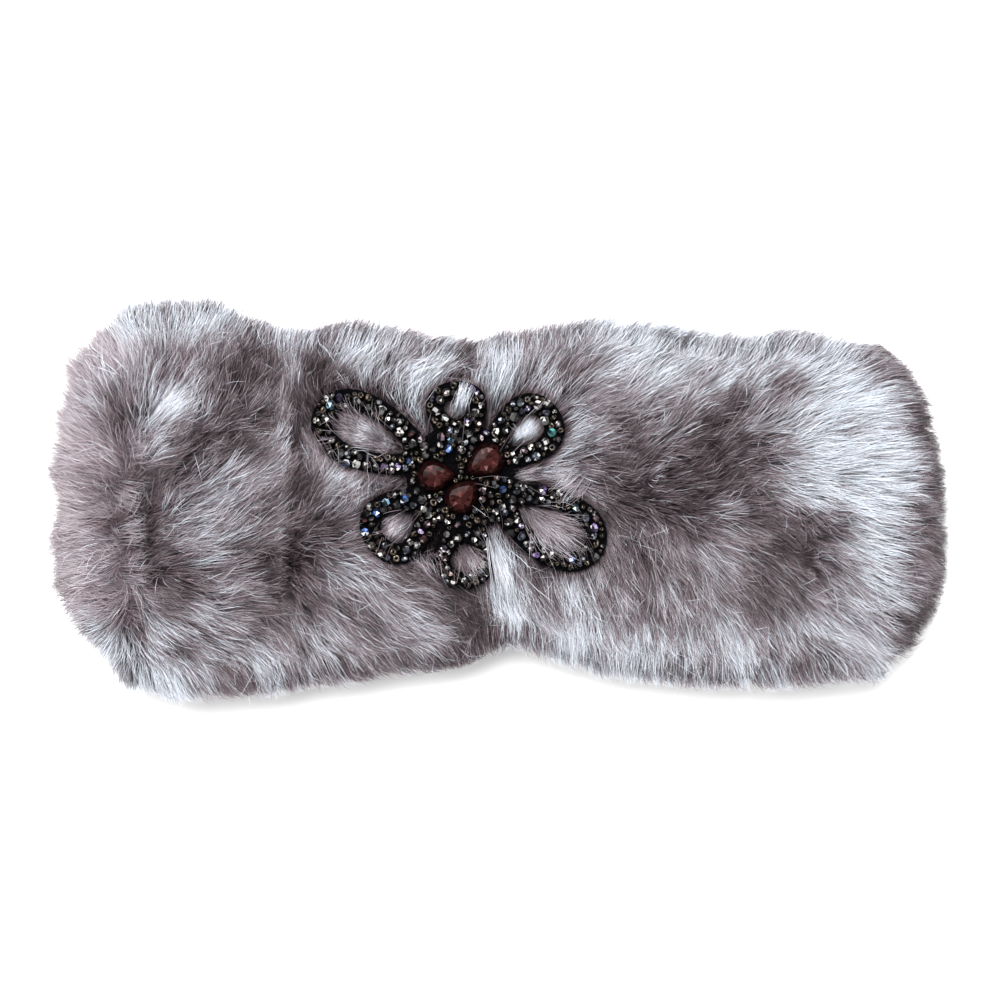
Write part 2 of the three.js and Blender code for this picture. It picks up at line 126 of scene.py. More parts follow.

# ------------------------------------------------------------------ comb chart, in millimetres

# Where the comb was drawn over the front: place, heading in degrees from +X, lift above the skin in
# degrees, how long the hairs are there, and their tone from 0, the darkest, to 10, silver. The tones are
# the fur's own colour with painted sheen where the pile catches the light and painted shade in its
# valleys and along its border.
COMB = (
    # x, y, heading, lift, length, tone
    (-120, 38, 135, 42, 12, 5.8), (-122, 22, 150, 42, 12, 5.2), (-124, 5, 162, 42, 12, 5.2),
    (-124, -12, 176, 42, 12, 5), (-122, -27, 192, 42, 12, 5), (-112, 44, 118, 32, 11, 5.2),
    (-114, 32, 128, 38, 11, 6), (-113, 20, 145, 38, 11, 5.4), (-113, 5, 160, 40, 10, 5.2),
    (-113, -10, 172, 40, 10, 5.2), (-112, -22, 182, 40, 10, 5.2), (-116, -34, 215, 40, 10, 6),
    (-108, -41, 235, 32, 11, 9.4), (-104, 33, 112, 36, 12, 5.4), (-104, 22, 125, 48, 10, 4.2),
    (-106, 8, 160, 42, 10, 5), (-107, -1, 170, 42, 10, 4), (-106, -15, 180, 42, 10, 5.4),
    (-106, -28, 188, 42, 10, 4.8), (-104, -46, 245, 28, 12, 7.2), (-100, 49, 98, 26, 12, 7),
    (-101, 39, 98, 32, 12, 5.8), (-96, 38, 92, 32, 12, 6), (-100, 27, 85, 40, 11, 5.2),
    (-92, 26, 52, 24, 13, 6.4), (-88, 38, 72, 32, 12, 3.4), (-89, 49, 80, 26, 12, 7.8),
    (-78, 49, 74, 26, 12, 7.6), (-81, 40, 78, 36, 11, 4.8), (-82, 30, 92, 40, 11, 4.6),
    (-83, 23, 80, 44, 10, 5.6), (-71, 44, 76, 36, 11, 5), (-70, 36, 74, 44, 10, 2.2),
    (-72, 28, 80, 44, 10, 3), (-98, 16, 20, 42, 11, 2.6), (-92, 12, 20, 38, 12, 9),
    (-84, 16, 26, 42, 10, 3.8), (-74, 16, 28, 42, 10, 2.2), (-66, 20, 60, 38, 11, 3.2),
    (-100, 4, 12, 40, 11, 5), (-92, 4, 26, 40, 11, 2), (-84, 6, 30, 34, 13, 3),
    (-76, 6, 32, 30, 14, 5.2), (-67, 8, 46, 32, 13, 5), (-99, -6, 18, 44, 10, 3.2),
    (-90, -6, 30, 34, 13, 1.8), (-82, -3, 30, 26, 15, 5.6), (-73, -4, 34, 28, 15, 5.6),
    (-64, -4, 54, 36, 12, 3.4), (-100, -18, 10, 40, 11, 6), (-93, -15, 22, 38, 12, 2.6),
    (-84, -14, 28, 28, 14, 4), (-75, -14, 34, 30, 14, 5.8), (-68, -14, 38, 34, 12, 4.2),
    (-97, -26, 2, 40, 12, 9), (-89, -24, 6, 34, 12, 2.8), (-80, -23, 12, 30, 13, 4),
    (-71, -23, 14, 34, 12, 4.4), (-100, -34, -40, 38, 12, 0), (-92, -34, -12, 26, 14, 6.8),
    (-82, -32, -10, 26, 14, 2.4), (-72, -30, -20, 30, 13, 5), (-94, -42, -62, 30, 13, 5.5),
    (-85, -41, -44, 26, 14, 4.6), (-76, -40, -46, 26, 14, 5.4), (-69, -38, -62, 28, 13, 4),
    (-97, -50, -85, 26, 12, 7.5), (-89, -51, -68, 26, 12, 7.8), (-80, -50, -56, 26, 12, 4.5),
    (-72, -50, -64, 26, 12, 4), (-66, -47, -72, 22, 13, 7), (-61, -44, -70, 24, 13, 3.4),
    (-64, 44, 78, 30, 11, 7), (-63, 33, 78, 34, 11, 3.8), (-62, 20, 82, 30, 13, 5.6),
    (-62, 8, 74, 32, 13, 3), (-57, 45, 66, 26, 12, 8), (-55, 36, 62, 36, 11, 8),
    (-56, 24, 80, 38, 11, 0), (-52, 16, 96, 36, 10, 2.4), (-55, 6, 72, 36, 11, 1),
    (-57, -6, 60, 40, 11, 2.2), (-61, -18, 10, 60, 8, 0.4), (-60, -30, -66, 38, 11, 1.4),
    (-48, 43, 66, 28, 12, 4.8), (-47, 36, 60, 34, 11, 1.6), (-40, 44, 64, 26, 13, 4.4),
    (-38, 38, 56, 24, 14, 7.6), (-30, 42, 50, 24, 14, 6.8), (-30, 34, 40, 26, 14, 2.2),
    (-22, 43, 44, 26, 12, 5.8), (-22, 33, 42, 22, 14, 8.4), (-14, 42, 46, 28, 12, 5),
    (-11, 36, 40, 34, 11, 3.2), (-48, 8, 98, 28, 12, 6.2), (-42, 2, 70, 28, 12, 5),
    (-50, -4, 44, 36, 12, 3.8), (-46, -13, -10, 34, 12, 3), (-52, -20, -24, 36, 12, 3.4),
    (-41, -20, -26, 28, 14, 4.6), (-32, -24, -24, 26, 14, 5), (-22, -22, -30, 30, 12, 2.4),
    (-54, -29, -44, 34, 12, 2.4), (-46, -28, -38, 28, 14, 3.8), (-36, -31, -36, 24, 15, 1.8),
    (-27, -32, -38, 24, 15, 4.6), (-18, -30, -44, 26, 13, 3.2), (-54, -40, -60, 28, 13, 5),
    (-46, -39, -52, 24, 14, 5.4), (-37, -39, -46, 26, 14, 2.8), (-28, -40, -46, 26, 14, 1.8),
    (-19, -39, -50, 26, 13, 5.2), (-11, -28, -68, 34, 12, 0.8), (-8, -38, -66, 32, 12, 1.6),
    (-55, -49, -64, 28, 11, 5), (-42, -47, -54, 28, 11, 4.6), (-28, -46, -48, 28, 11, 4.2),
    (-14, -44, -56, 28, 11, 3.8), (-2, 32, 82, 20, 15, 9), (0, 42, 80, 24, 13, 6.5),
    (7, 38, 66, 30, 12, 5.8), (14, 44, 64, 28, 12, 5.6), (14, 34, 52, 28, 13, 7),
    (23, 44, 60, 28, 12, 5.8), (23, 35, 36, 30, 13, 4.6), (33, 44, 54, 24, 14, 8.4),
    (34, 35, 38, 24, 14, 7.4), (44, 44, 46, 26, 13, 6.5), (43, 34, 36, 24, 14, 7.2),
    (53, 42, 46, 26, 13, 7.2), (54, 33, 42, 28, 13, 5.4), (0, -16, -84, 16, 15, 8),
    (2, -30, -86, 16, 15, 8.8), (8, -20, -66, 30, 13, 4.4), (9, -36, -82, 28, 12, 5.6),
    (14, -26, -74, 26, 14, 5.4), (20, -26, -76, 20, 15, 7.8), (22, -38, -84, 24, 13, 8),
    (12, 8, 20, 24, 12, 4.4), (18, 14, 18, 24, 13, 7.6), (19, 6, -30, 26, 13, 5.6),
    (25, 20, 30, 32, 13, 6), (24, 10, 0, 32, 13, 4.8), (26, 0, -48, 30, 13, 4),
    (29, -10, -60, 30, 13, 4.6), (28, -24, -72, 30, 13, 5.4), (29, -38, -86, 28, 12, 6.4),
    (30, 28, 34, 34, 12, 4), (33, 18, 44, 44, 10, 1), (33, 8, 60, 46, 10, 3.8),
    (37, 3, 20, 62, 8, 1.4), (36, -6, -60, 44, 10, 2.6), (38, -18, -72, 38, 12, 3),
    (38, -30, -80, 36, 12, 3.6), (38, -42, -86, 26, 13, 7.2), (40, 24, 34, 32, 13, 4.8),
    (44, 14, 38, 38, 12, 4), (44, 2, 10, 40, 11, 4.2), (44, -8, -50, 38, 12, 3.4),
    (46, -20, -62, 34, 13, 4.2), (48, -32, -70, 32, 13, 4), (49, -43, -78, 26, 13, 6.4),
    (50, 22, 38, 34, 12, 4.2), (53, 12, 26, 42, 10, 2.2), (50, 0, 4, 46, 9, 1.8),
    (54, -8, -34, 38, 12, 3.4), (56, -18, -48, 32, 14, 4.8), (58, -30, -62, 30, 14, 4.6),
    (58, -42, -72, 26, 13, 4.6), (62, 26, 40, 36, 12, 2.8), (62, 14, 22, 44, 10, 2),
    (61, 4, 8, 42, 11, 2.4), (62, -7, -28, 34, 13, 4.2), (65, -18, -46, 30, 14, 4.4),
    (67, -30, -60, 30, 13, 3.8), (66, -42, -72, 26, 13, 6.4), (64, 38, 44, 26, 13, 6.8),
    (74, 41, 46, 26, 13, 6.8), (73, 32, 38, 28, 14, 5.6), (72, 22, 26, 32, 13, 6.6),
    (71, 11, 4, 38, 12, 2.8), (72, 1, -10, 36, 12, 3.2), (73, -8, -26, 36, 12, 3),
    (75, -18, -44, 38, 12, 2.4), (76, -28, -56, 38, 12, 2.6), (74, -40, -66, 28, 13, 5),
    (72, -48, -74, 28, 11, 5.8), (84, 43, 40, 26, 12, 6), (82, 32, 34, 28, 14, 5.8),
    (82, 22, 14, 26, 15, 5.4), (82, 12, 4, 30, 14, 4.6), (82, 3, -12, 30, 13, 6),
    (82, -6, -20, 42, 10, 3), (82, -14, -10, 62, 8, 0.9), (84, -23, -46, 34, 13, 3),
    (84, -33, -34, 24, 15, 5.8), (83, -43, -62, 26, 13, 4.6), (92, 38, 32, 24, 14, 8),
    (92, 29, 24, 22, 15, 7.4), (92, 17, 8, 20, 16, 8.8), (93, 5, 2, 22, 15, 8),
    (91, -5, -10, 32, 13, 4.2), (91, -15, -8, 30, 13, 4.2), (93, -25, -28, 26, 14, 4.8),
    (93, -36, -38, 24, 14, 5.8), (93, -46, -64, 26, 12, 5), (103, 36, 26, 26, 13, 4),
    (103, 26, 14, 20, 16, 8.8), (103, 13, 8, 18, 16, 10), (103, 0, 6, 18, 16, 9),
    (103, -12, -6, 20, 15, 8), (103, -24, -24, 22, 15, 6), (103, -35, -42, 24, 14, 4.8),
    (103, -46, -62, 26, 12, 6.2), (112, 33, 18, 30, 12, 1.6), (114, 20, 8, 24, 13, 2.8),
    (115, 6, 4, 22, 14, 3.6), (114, -6, 0, 24, 13, 4), (113, -18, -10, 24, 13, 4),
    (113, -30, -34, 28, 12, 3), (120, 14, 4, 32, 10, 2.4), (122, 0, 0, 32, 10, 2.4),
    (122, -16, -6, 32, 10, 2.4), (118, -28, -24, 32, 10, 2.4), (112, -40, -46, 30, 10, 2.2),
    # inside the flower's loops
    (-40, 22, 118, 52, 8, 6), (-33, 16, 150, 46, 8, 6.2), (-42, 15, 205, 46, 8, 5.8),
    (-13, 25, 72, 36, 8, 9.5), (5, 18, 52, 30, 9, 9), (8, -5, -66, 36, 9, 5.6),
    (15, -9, -52, 38, 9, 3), (-9, -15, -60, 42, 8, 4.4), (-28, -8, 220, 30, 7, 6),
)

# Locks and partings, painted shade in creases and under the brooch, and painted sheen where the pile
# catches the light, drawn over the comb's tones: from one place to another, with a radius.
STREAKS = (
    # x, y, to x, to y, radius, tone
    (-96, 20, -87, 28, 3, 8), (-99, 46, -96, 52, 2.5, 8.5), (-87, 45, -84, 51, 2.5, 8.5),
    (-74, 34, -66, 40, 5, 1.5), (-98, -2, -96, 8, 2.5, 1.5), (-96, 5, -85, 9, 2.5, 2.2),
    (-85, 12, -75, 18, 4, 2), (-72, 22, -64, 22, 3, 2), (-76, 16, -70, 12, 3, 1.5),
    (-103, -3, -100, 4, 2, 6), (-101, -13, -99, -10, 1.5, 6), (-109, 3, -106, -2, 4, 3),
    (-101, -33, -99, -35, 3, 1), (-103, 22, -103, 24, 4, 3.5), (-95, -8, -93, -20, 3, 2.2),
    (-90, -23, -88, -27, 3, 2.5), (-88, -5, -76, 6, 3.5, 5.6), (-82, -8, -72, -3, 4, 6),
    (-70, 2, -66, 8, 2.5, 5.8), (-79, -16, -74, -12, 2, 6.5), (-76, -17, -70, -13, 2, 2.5),
    (-97, -30, -90, -37, 2.5, 6.5), (-90, -33, -83, -35, 2, 6.5), (-82, -29, -74, -26, 2.5, 6.5),
    (-80, -37, -75, -41, 2.5, 7.5), (-110, -40, -106, -42, 4, 8), (-94, -50, -88, -50, 5, 8),
    (-86, -46, -80, -50, 2, 3.5), (-75, -49, -70, -52, 3, 3.5), (-84, -38, -78, -38, 1.5, 3.5),
    (-67, -43, -65, -51, 1.8, 9.5), (-62, -41, -60, -47, 1.8, 6), (-61, 25, -62, 12, 2, 6),
    (-53, 38, -50, 33, 4, 2), (-57, 27, -56, 18, 3.4, 0), (-56, 10, -56, 2, 4, 0.6),
    (-48, 36, -45, 36, 3, 1), (-42, 41, -34, 35, 4.6, 9), (-24, 28, -15, 39, 3.5, 10),
    (-34, 33, -30, 36, 2, 5.5), (-12, 33, -9, 40, 3, 1.6), (-1, 24, 1, 42, 3.4, 9.4),
    (-30, 46, 10, 45, 2.5, 5), (-50, 18, -45, 4, 3, 6.5), (-62, -15, -61, -25, 4, 0.3),
    (-64, -20, -60, -18, 3.5, 0.3), (-47, -12, -48, -18, 2.5, 2.5), (-56, -25, -53, -28, 3, 2),
    (-41, -18, -30, -27, 2, 5.6), (-36, -30, -28, -35, 1.6, 5.8), (-27, -30, -18, -38, 2, 7),
    (-48, -32, -42, -38, 2, 6), (-50, -40, -44, -43, 2.2, 7), (-30, -38, -22, -42, 2, 5.5),
    (-42, -38, -32, -44, 2, 3.5), (-20, -22, -14, -28, 3, 4), (-12, -26, -5, -38, 4.5, 0.2),
    (-12, -40, -4, -44, 3, 3), (-1, -15, 2, -36, 3, 8.8), (8, -16, 13, -30, 3, 3.5),
    (18, -22, 22, -36, 3, 8), (24, -20, 32, -30, 4, 5.2), (34, -30, 36, -36, 2, 3.8),
    (40, -38, 38, -46, 4, 7.8), (45, -22, 50, -32, 2, 3.5), (44, -20, 52, -36, 2.2, 6),
    (60, -12, 64, -18, 2.5, 6.5), (62, -36, 66, -44, 3.5, 8), (53, -40, 53, -46, 2.5, 7.5),
    (68, -28, 70, -34, 2.5, 2.8), (52, -18, 56, -26, 2, 3.2), (37, 3, 37.5, 3, 2.8, 0.5),
    (30, 22, 34, 14, 3.5, 2.6), (35, -3, 37, -8, 3, 2.2), (26, 8, 28, 5, 2.5, 3),
    (38, -13, 40, -30, 3.5, 3.3), (47, 4, 50, -5, 2.8, 1.8), (52, 12, 68, 10, 5, 2.3),
    (58, 20, 68, 24, 4, 2.3), (45, 8, 46, -4, 1.8, 5), (16, 13, 19, 17, 2.5, 8),
    (21, 24, 27, 18, 2.5, 6.2), (30, 46, 38, 36, 5, 8.5), (20, 36, 27, 40, 3, 5),
    (27, 28, 30, 32, 3, 4.5), (40, 44, 60, 42, 3.5, 7.5), (38, 32, 50, 36, 4, 7.5),
    (55, 33, 62, 36, 2, 5), (62, 33, 70, 36, 3, 7.5), (77, 27, 80, 33, 2.5, 3.2),
    (86, 36, 95, 33, 5, 8.8), (90, 15, 106, 12, 9, 9.8), (95, 24, 106, 27, 5, 9),
    (88, 4, 108, 3, 5, 9.5), (105, 10, 111, 7, 4, 9), (104, -5, 106, -18, 4, 8.2),
    (21, -11, 24, -14, 3, 0), (102, -22, 108, -27, 3, 8), (82, 3, 86, 0, 2.5, 7.8),
    (81, -15, 82, -14, 3.5, 0.8), (86, -8, 90, -14, 3, 2.3), (88, -17, 92, -18, 2, 5.5),
    (76, -24, 78, -28, 3, 2), (74, -16, 78, -20, 3, 2.6), (80, -28, 82, -32, 2.5, 2.6),
    (112, 38, 118, 24, 4, 2.4), (116, 26, 121, 6, 4, 2), (123, 6, 124, -25, 3.4, 2),
    (120, -28, 114, -38, 3.5, 2), (83, -35, 95, -38, 2.5, 7), (98, -32, 108, -36, 2, 6.5),
    (101, -40, 106, -49, 2.2, 8), (92, -41, 94, -47, 1.8, 7.5), (98, -46, 100, -44, 2, 4),
    (76, -44, 77, -40, 2, 4),
)

# Places where the pile is more even than elsewhere: x, y, radius.
PLUSH = (
    (-116, 30, 10), (-115, 12, 12), (-114, -5, 12), (-114, -20, 12), (-104, 34, 6),
    (-103, -3, 7), (-102, -14, 5), (-105, 11, 7), (-103, -26, 4), (-100, 4, 7), (-97, -25, 4),
)

# Places where the pile stands further out, or less far where the last number is negative: x, y,
# radius and by how much, in millimetres.
FULLER = (
    (-118, 42, 14, 3.4), (-124, 8, 26, 3.4), (-122, -22, 16, 2.4), (-113, -43, 9, 5),
    (116, 42, 13, 3.6), (124, -8, 24, 1.2), (106, -51, 9, 3.4), (-24, -50, 16, -2.6), (0, -43, 7, -4),
)

# Locks that lie over the brooch or over the combed pile: where they rise, where their tips lie,
# how wide they are at either end, how many hairs, their tone, how high they arch above the
# beads, and how far single hairs stray sideways. Millimetres.
LOCKS = (
    # x, y, to x, to y, width, to width, hairs, tone, arch, stray
    (-53, 20, -46, 4, 2.6, 4, 120, 4.2, 1.0, 0.9), (-44, 15, -51, 13, 7, 9, 30, 5.2, 0.8, 1.6),
    (-40, 19, -45, 26, 6, 8, 26, 5.0, 0.8, 1.5), (-35, 18, -36, 26, 7, 9, 34, 5.0, 0.8, 1.6),
    (-34, 16.5, -40, 18, 3.4, 5, 90, 6.4, 0.0, 0.8), (-13, 20, -9, 31, 3, 3.5, 170, 9.2, 0.9, 0.7),
    (2.5, 13.5, 7, 19, 2.5, 3, 120, 8.8, 0.2, 0.4), (6, 16, 3, 20, 3, 3, 16, 7.0, 0.8, 1.0),
    (24, 8, 15, 1, 5, 6, 110, 5.6, 0.8, 1.6), (13, 8, 4.5, 6, 3, 1.5, 60, 5.2, 0.4, 0.6),
    (6, -2.5, 20, -12, 3, 9, 190, 5.2, 0.6, 1.4), (12, -8, 22, -15, 5, 6, 34, 6.0, 0.8, 1.4),
    (9, -6, 13, -13, 4, 6, 34, 5.0, 0.7, 1.4), (-25.5, -5, -30.5, -9.5, 3, 3.5, 120, 5.6, 0.2, 0.5),
    (-35, -1, -29, -4, 3, 4, 10, 7.0, 0.8, 1.4), (-10, -12, -5, -20, 4, 6, 140, 4.8, 0.7, 1.6),
    (-9, -14, -4, -18, 4, 4, 40, 5.0, 0.8, 1.4), (-3.5, -8.5, 0.5, -26, 1.5, 6, 200, 8.0, 0.5, 0.7),
    (-16, -24, -21, -15, 4, 5, 70, 5.0, 0.7, 1.6), (-43, -12, -37, -9, 5, 6, 40, 4.0, 0.8, 1.2),
    (-97, 19, -85.5, 29, 2.6, 5.0, 300, 8.4, 1.6, 0.7), (-107, 3, -98, 0, 4, 5, 110, 4.8, 0.6, 0.8),
    (-106, -10, -97, -9, 4, 5, 110, 5.0, 0.5, 0.8), (-106, -20, -96, -20, 4, 6, 100, 4.6, 0.5, 1.0),
    (-105, -30, -96, -33, 4, 6, 80, 2.6, 0.5, 1.0), (-103, 12, -95, 13, 4, 5, 80, 5.0, 1.2, 1.4),
    (-62, -8, -53, -4, 4, 5, 60, 3.6, 0.4, 1.4), (-61, 5, -55, 13, 4, 5, 60, 3.4, 0.4, 1.3),
    (-61, 18, -58, 26, 3, 3, 40, 3.6, 0.3, 0.8), (-60, -25, -52, -30, 4, 5, 40, 2, 0.3, 1.4),
)

# Beads that stand out, each sewn in its own place: x, y and size in millimetres, and finish.
ACCENTS = (
    (-46.6, 25.5, 2.8, "sky"), (-44.2, 27.6, 2.4, "violet"), (-50.6, 21.4, 2.0, "clear"),
    (-49.8, 25.5, 1.5, "gold"), (-42.4, 9.6, 2.4, "blue"), (-39.6, 9.4, 2.6, "clear"),
    (-34.6, 10.8, 2.4, "gold"), (-31.9, 8.7, 2.6, "violet"), (-28.4, 8.7, 2.4, "violet"),
    (-25.1, 10.1, 2.2, "blue"), (-27.2, 10.6, 2.3, "gold"), (-32.6, 24.1, 2.8, "clear"),
    (-30.9, 21.6, 1.8, "clear"), (-27.7, 18.1, 2.9, "smoke"), (-24.6, 17.8, 2.3, "wine"),
    (-21.1, 14.3, 3.0, "smoke"), (-20.4, 23.7, 2.2, "sky"), (-16.7, 30.7, 2.0, "sky"),
    (-14.4, 13.6, 2.4, "blue"), (-10.9, 13.4, 2.9, "smoke"), (-12.3, 18.5, 1.6, "clear"),
    (-23.2, 2.0, 2.2, "clear"), (-26.5, -0.4, 2.6, "blue"), (-31.6, -1.0, 2.4, "sky"),
    (-34.2, -3.9, 2.6, "blue"), (-37.4, -9.2, 2.6, "blue"), (-36.3, -13.0, 2.2, "clear"),
    (-32.6, -14.8, 2.6, "mauve"), (-26.0, -14.1, 2.8, "steel"), (-24.9, -16.4, 2.3, "gold"),
    (-23.2, -12.8, 2.2, "clear"), (-22.0, -9.0, 1.9, "violet"), (-18.3, 1.0, 2.4, "gold"),
    (-15.8, -13.7, 2.2, "violet"), (-16.9, -18.3, 2.6, "mauve"), (-15.7, -21.2, 1.7, "clear"),
    (-8.1, 30.0, 2.4, "violet"), (-7.1, 26.9, 2.3, "gold"), (-7.2, 23.4, 2.5, "clear"),
    (-9.2, 20.9, 2.6, "violet"), (-6.4, 20.2, 2.4, "wine"), (-13.9, 15.8, 2.0, "sky"),
    (-0.1, 21.3, 2.4, "steel"), (-1.5, 18.1, 2.7, "smoke"), (2.0, 24.1, 2.3, "gold"),
    (5.3, 26.0, 2.7, "steel"), (10.1, 25.5, 2.8, "mauve"), (11.8, 21.3, 2.8, "clear"),
    (13.9, 18.0, 2.7, "teal"), (9.4, 11.5, 2.7, "steel"), (3.9, 10.4, 2.3, "clear"),
    (0.5, 2.4, 2.4, "blue"), (6.0, 2.9, 2.3, "clear"), (11.1, 2.4, 3.0, "violet"),
    (17.4, -0.4, 2.4, "steel"), (20.2, -2.5, 2.6, "teal"), (23.0, -5.2, 2.8, "steel"),
    (25.3, -8.1, 2.9, "violet"), (25.8, -12.3, 2.4, "gold"), (23.0, -13.7, 2.0, "clear"),
    (19.4, -16.5, 2.4, "blue"), (17.1, -18.0, 2.4, "gold"), (13.9, -15.3, 2.4, "clear"),
    (9.4, -15.3, 2.4, "violet"), (8.0, -13.7, 2.0, "mauve"), (5.5, -10.2, 2.8, "steel"),
    (2.0, -6.4, 3.0, "smoke"), (-6.7, -5.9, 2.4, "gold"), (-7.4, -11.3, 1.9, "clear"),
)


# ------------------------------------------------------------------ settings


class PileSettings(bpy.types.PropertyGroup):
    """Sizes and colours of the pile."""

    depth: bpy.props.FloatProperty(
        name="Depth", description="How far inside the pile's outer form its skin lies",
        default=5.5 * MM, unit="LENGTH",
    )
    density: bpy.props.FloatProperty(
        name="Density", description="Hairs per square metre on the front", default=6.2e6,
    )
    hair_width: bpy.props.FloatProperty(
        name="Hair Width", description="Width of a hair at its root",
        default=0.19 * MM, unit="LENGTH",
    )
    lock_spacing: bpy.props.FloatProperty(
        name="Lock Spacing", description="Distance between the larger locks",
        default=6.5 * MM, unit="LENGTH",
    )
    wisp_spacing: bpy.props.FloatProperty(
        name="Wisp Spacing", description="Distance between the small wisps in a lock",
        default=1.7 * MM, unit="LENGTH",
    )
    seed: bpy.props.IntProperty(name="Seed", description="Seed of the pile", default=7)
    root_colour: bpy.props.FloatVectorProperty(
        name="Root Colour", description="Colour of a hair at its root", subtype="COLOR",
        default=(0.050, 0.031, 0.036),
    )
    middle_colour: bpy.props.FloatVectorProperty(
        name="Middle Colour", description="Colour halfway up a hair", subtype="COLOR",
        default=(0.25, 0.185, 0.207),
    )
    tip_colour: bpy.props.FloatVectorProperty(
        name="Tip Colour", description="Colour of a hair at its tip", subtype="COLOR",
        default=(0.63, 0.60, 0.63),
    )
    silver_colour: bpy.props.FloatVectorProperty(
        name="Silver Colour", description="Tip colour of the palest hairs", subtype="COLOR",
        default=(0.80, 0.865, 0.95),
    )


class BandSettings(bpy.types.PropertyGroup):
    """The cloth loop that the pile stands on."""

    colour: bpy.props.FloatVectorProperty(
        name="Colour", description="Colour of the plush lining", subtype="COLOR",
        default=(0.115, 0.092, 0.100),
    )
    flat_size: bpy.props.FloatVectorProperty(
        name="Flat Size", description="Width and length of the cloth before it was sewn to a loop",
        default=(0.095, 0.434), size=2, unit="LENGTH",
    )
    pelt_size: bpy.props.FloatVectorProperty(
        name="Pelt Size", description="Width and length of the furred cloth before it was sewn on",
        default=(0.112, 0.478), size=2, unit="LENGTH",
    )
    waisting: bpy.props.FloatProperty(
        name="Waisting", description="Area of the waisted cut, as a share of its rectangle",
        default=0.88, subtype="FACTOR",
    )


class BroochSettings(bpy.types.PropertyGroup):
    """Sizes and colours of the brooch."""

    bead_size: bpy.props.FloatProperty(
        name="Bead Size", description="Diameter of a usual bead",
        default=2.0 * MM, unit="LENGTH",
    )
    crowding: bpy.props.FloatProperty(
        name="Crowding", description="Least distance between beads, as a share of their size",
        default=0.84, subtype="FACTOR",
    )
    seed: bpy.props.IntProperty(name="Seed", description="Seed of the beads", default=3)
    felt_colour: bpy.props.FloatVectorProperty(
        name="Felt Colour", description="Colour of the felt", subtype="COLOR",
        default=(0.0018, 0.0018, 0.0022),
    )
    crystal_colour: bpy.props.FloatVectorProperty(
        name="Crystal Colour", description="Colour of a crystal's clearer facets", subtype="COLOR",
        default=(0.023, 0.0066, 0.006),
    )


class StageSettings(bpy.types.PropertyGroup):
    """Camera, floor and lights."""

    lens: bpy.props.FloatProperty(
        name="Lens", description="Focal length in millimetres", default=65.0,
    )
    frame_width: bpy.props.FloatProperty(
        name="Frame Width", description="Width seen at the middle of the band's height",
        default=280 * MM, unit="LENGTH",
    )
    floor_colour: bpy.props.FloatVectorProperty(
        name="Floor Colour", description="Colour of the floor", subtype="COLOR",
        default=(0.88, 0.88, 0.88),
    )


# ------------------------------------------------------------------ small tools


class Value:
    """What a node puts out. Sums written with values lay down the maths nodes for them."""

    def __init__(self, graph, socket):
        self.graph = graph
        self.socket = socket

    def __add__(self, other):
        return self.graph.maths("ADD", self, other)

    def __sub__(self, other):
        return self.graph.maths("SUBTRACT", self, other)

    def __rsub__(self, other):
        return self.graph.maths("SUBTRACT", other, self)

    def __mul__(self, other):
        return self.graph.maths("MULTIPLY", self, other)

    def __pow__(self, power):
        return self.graph.maths("POWER", self, power)


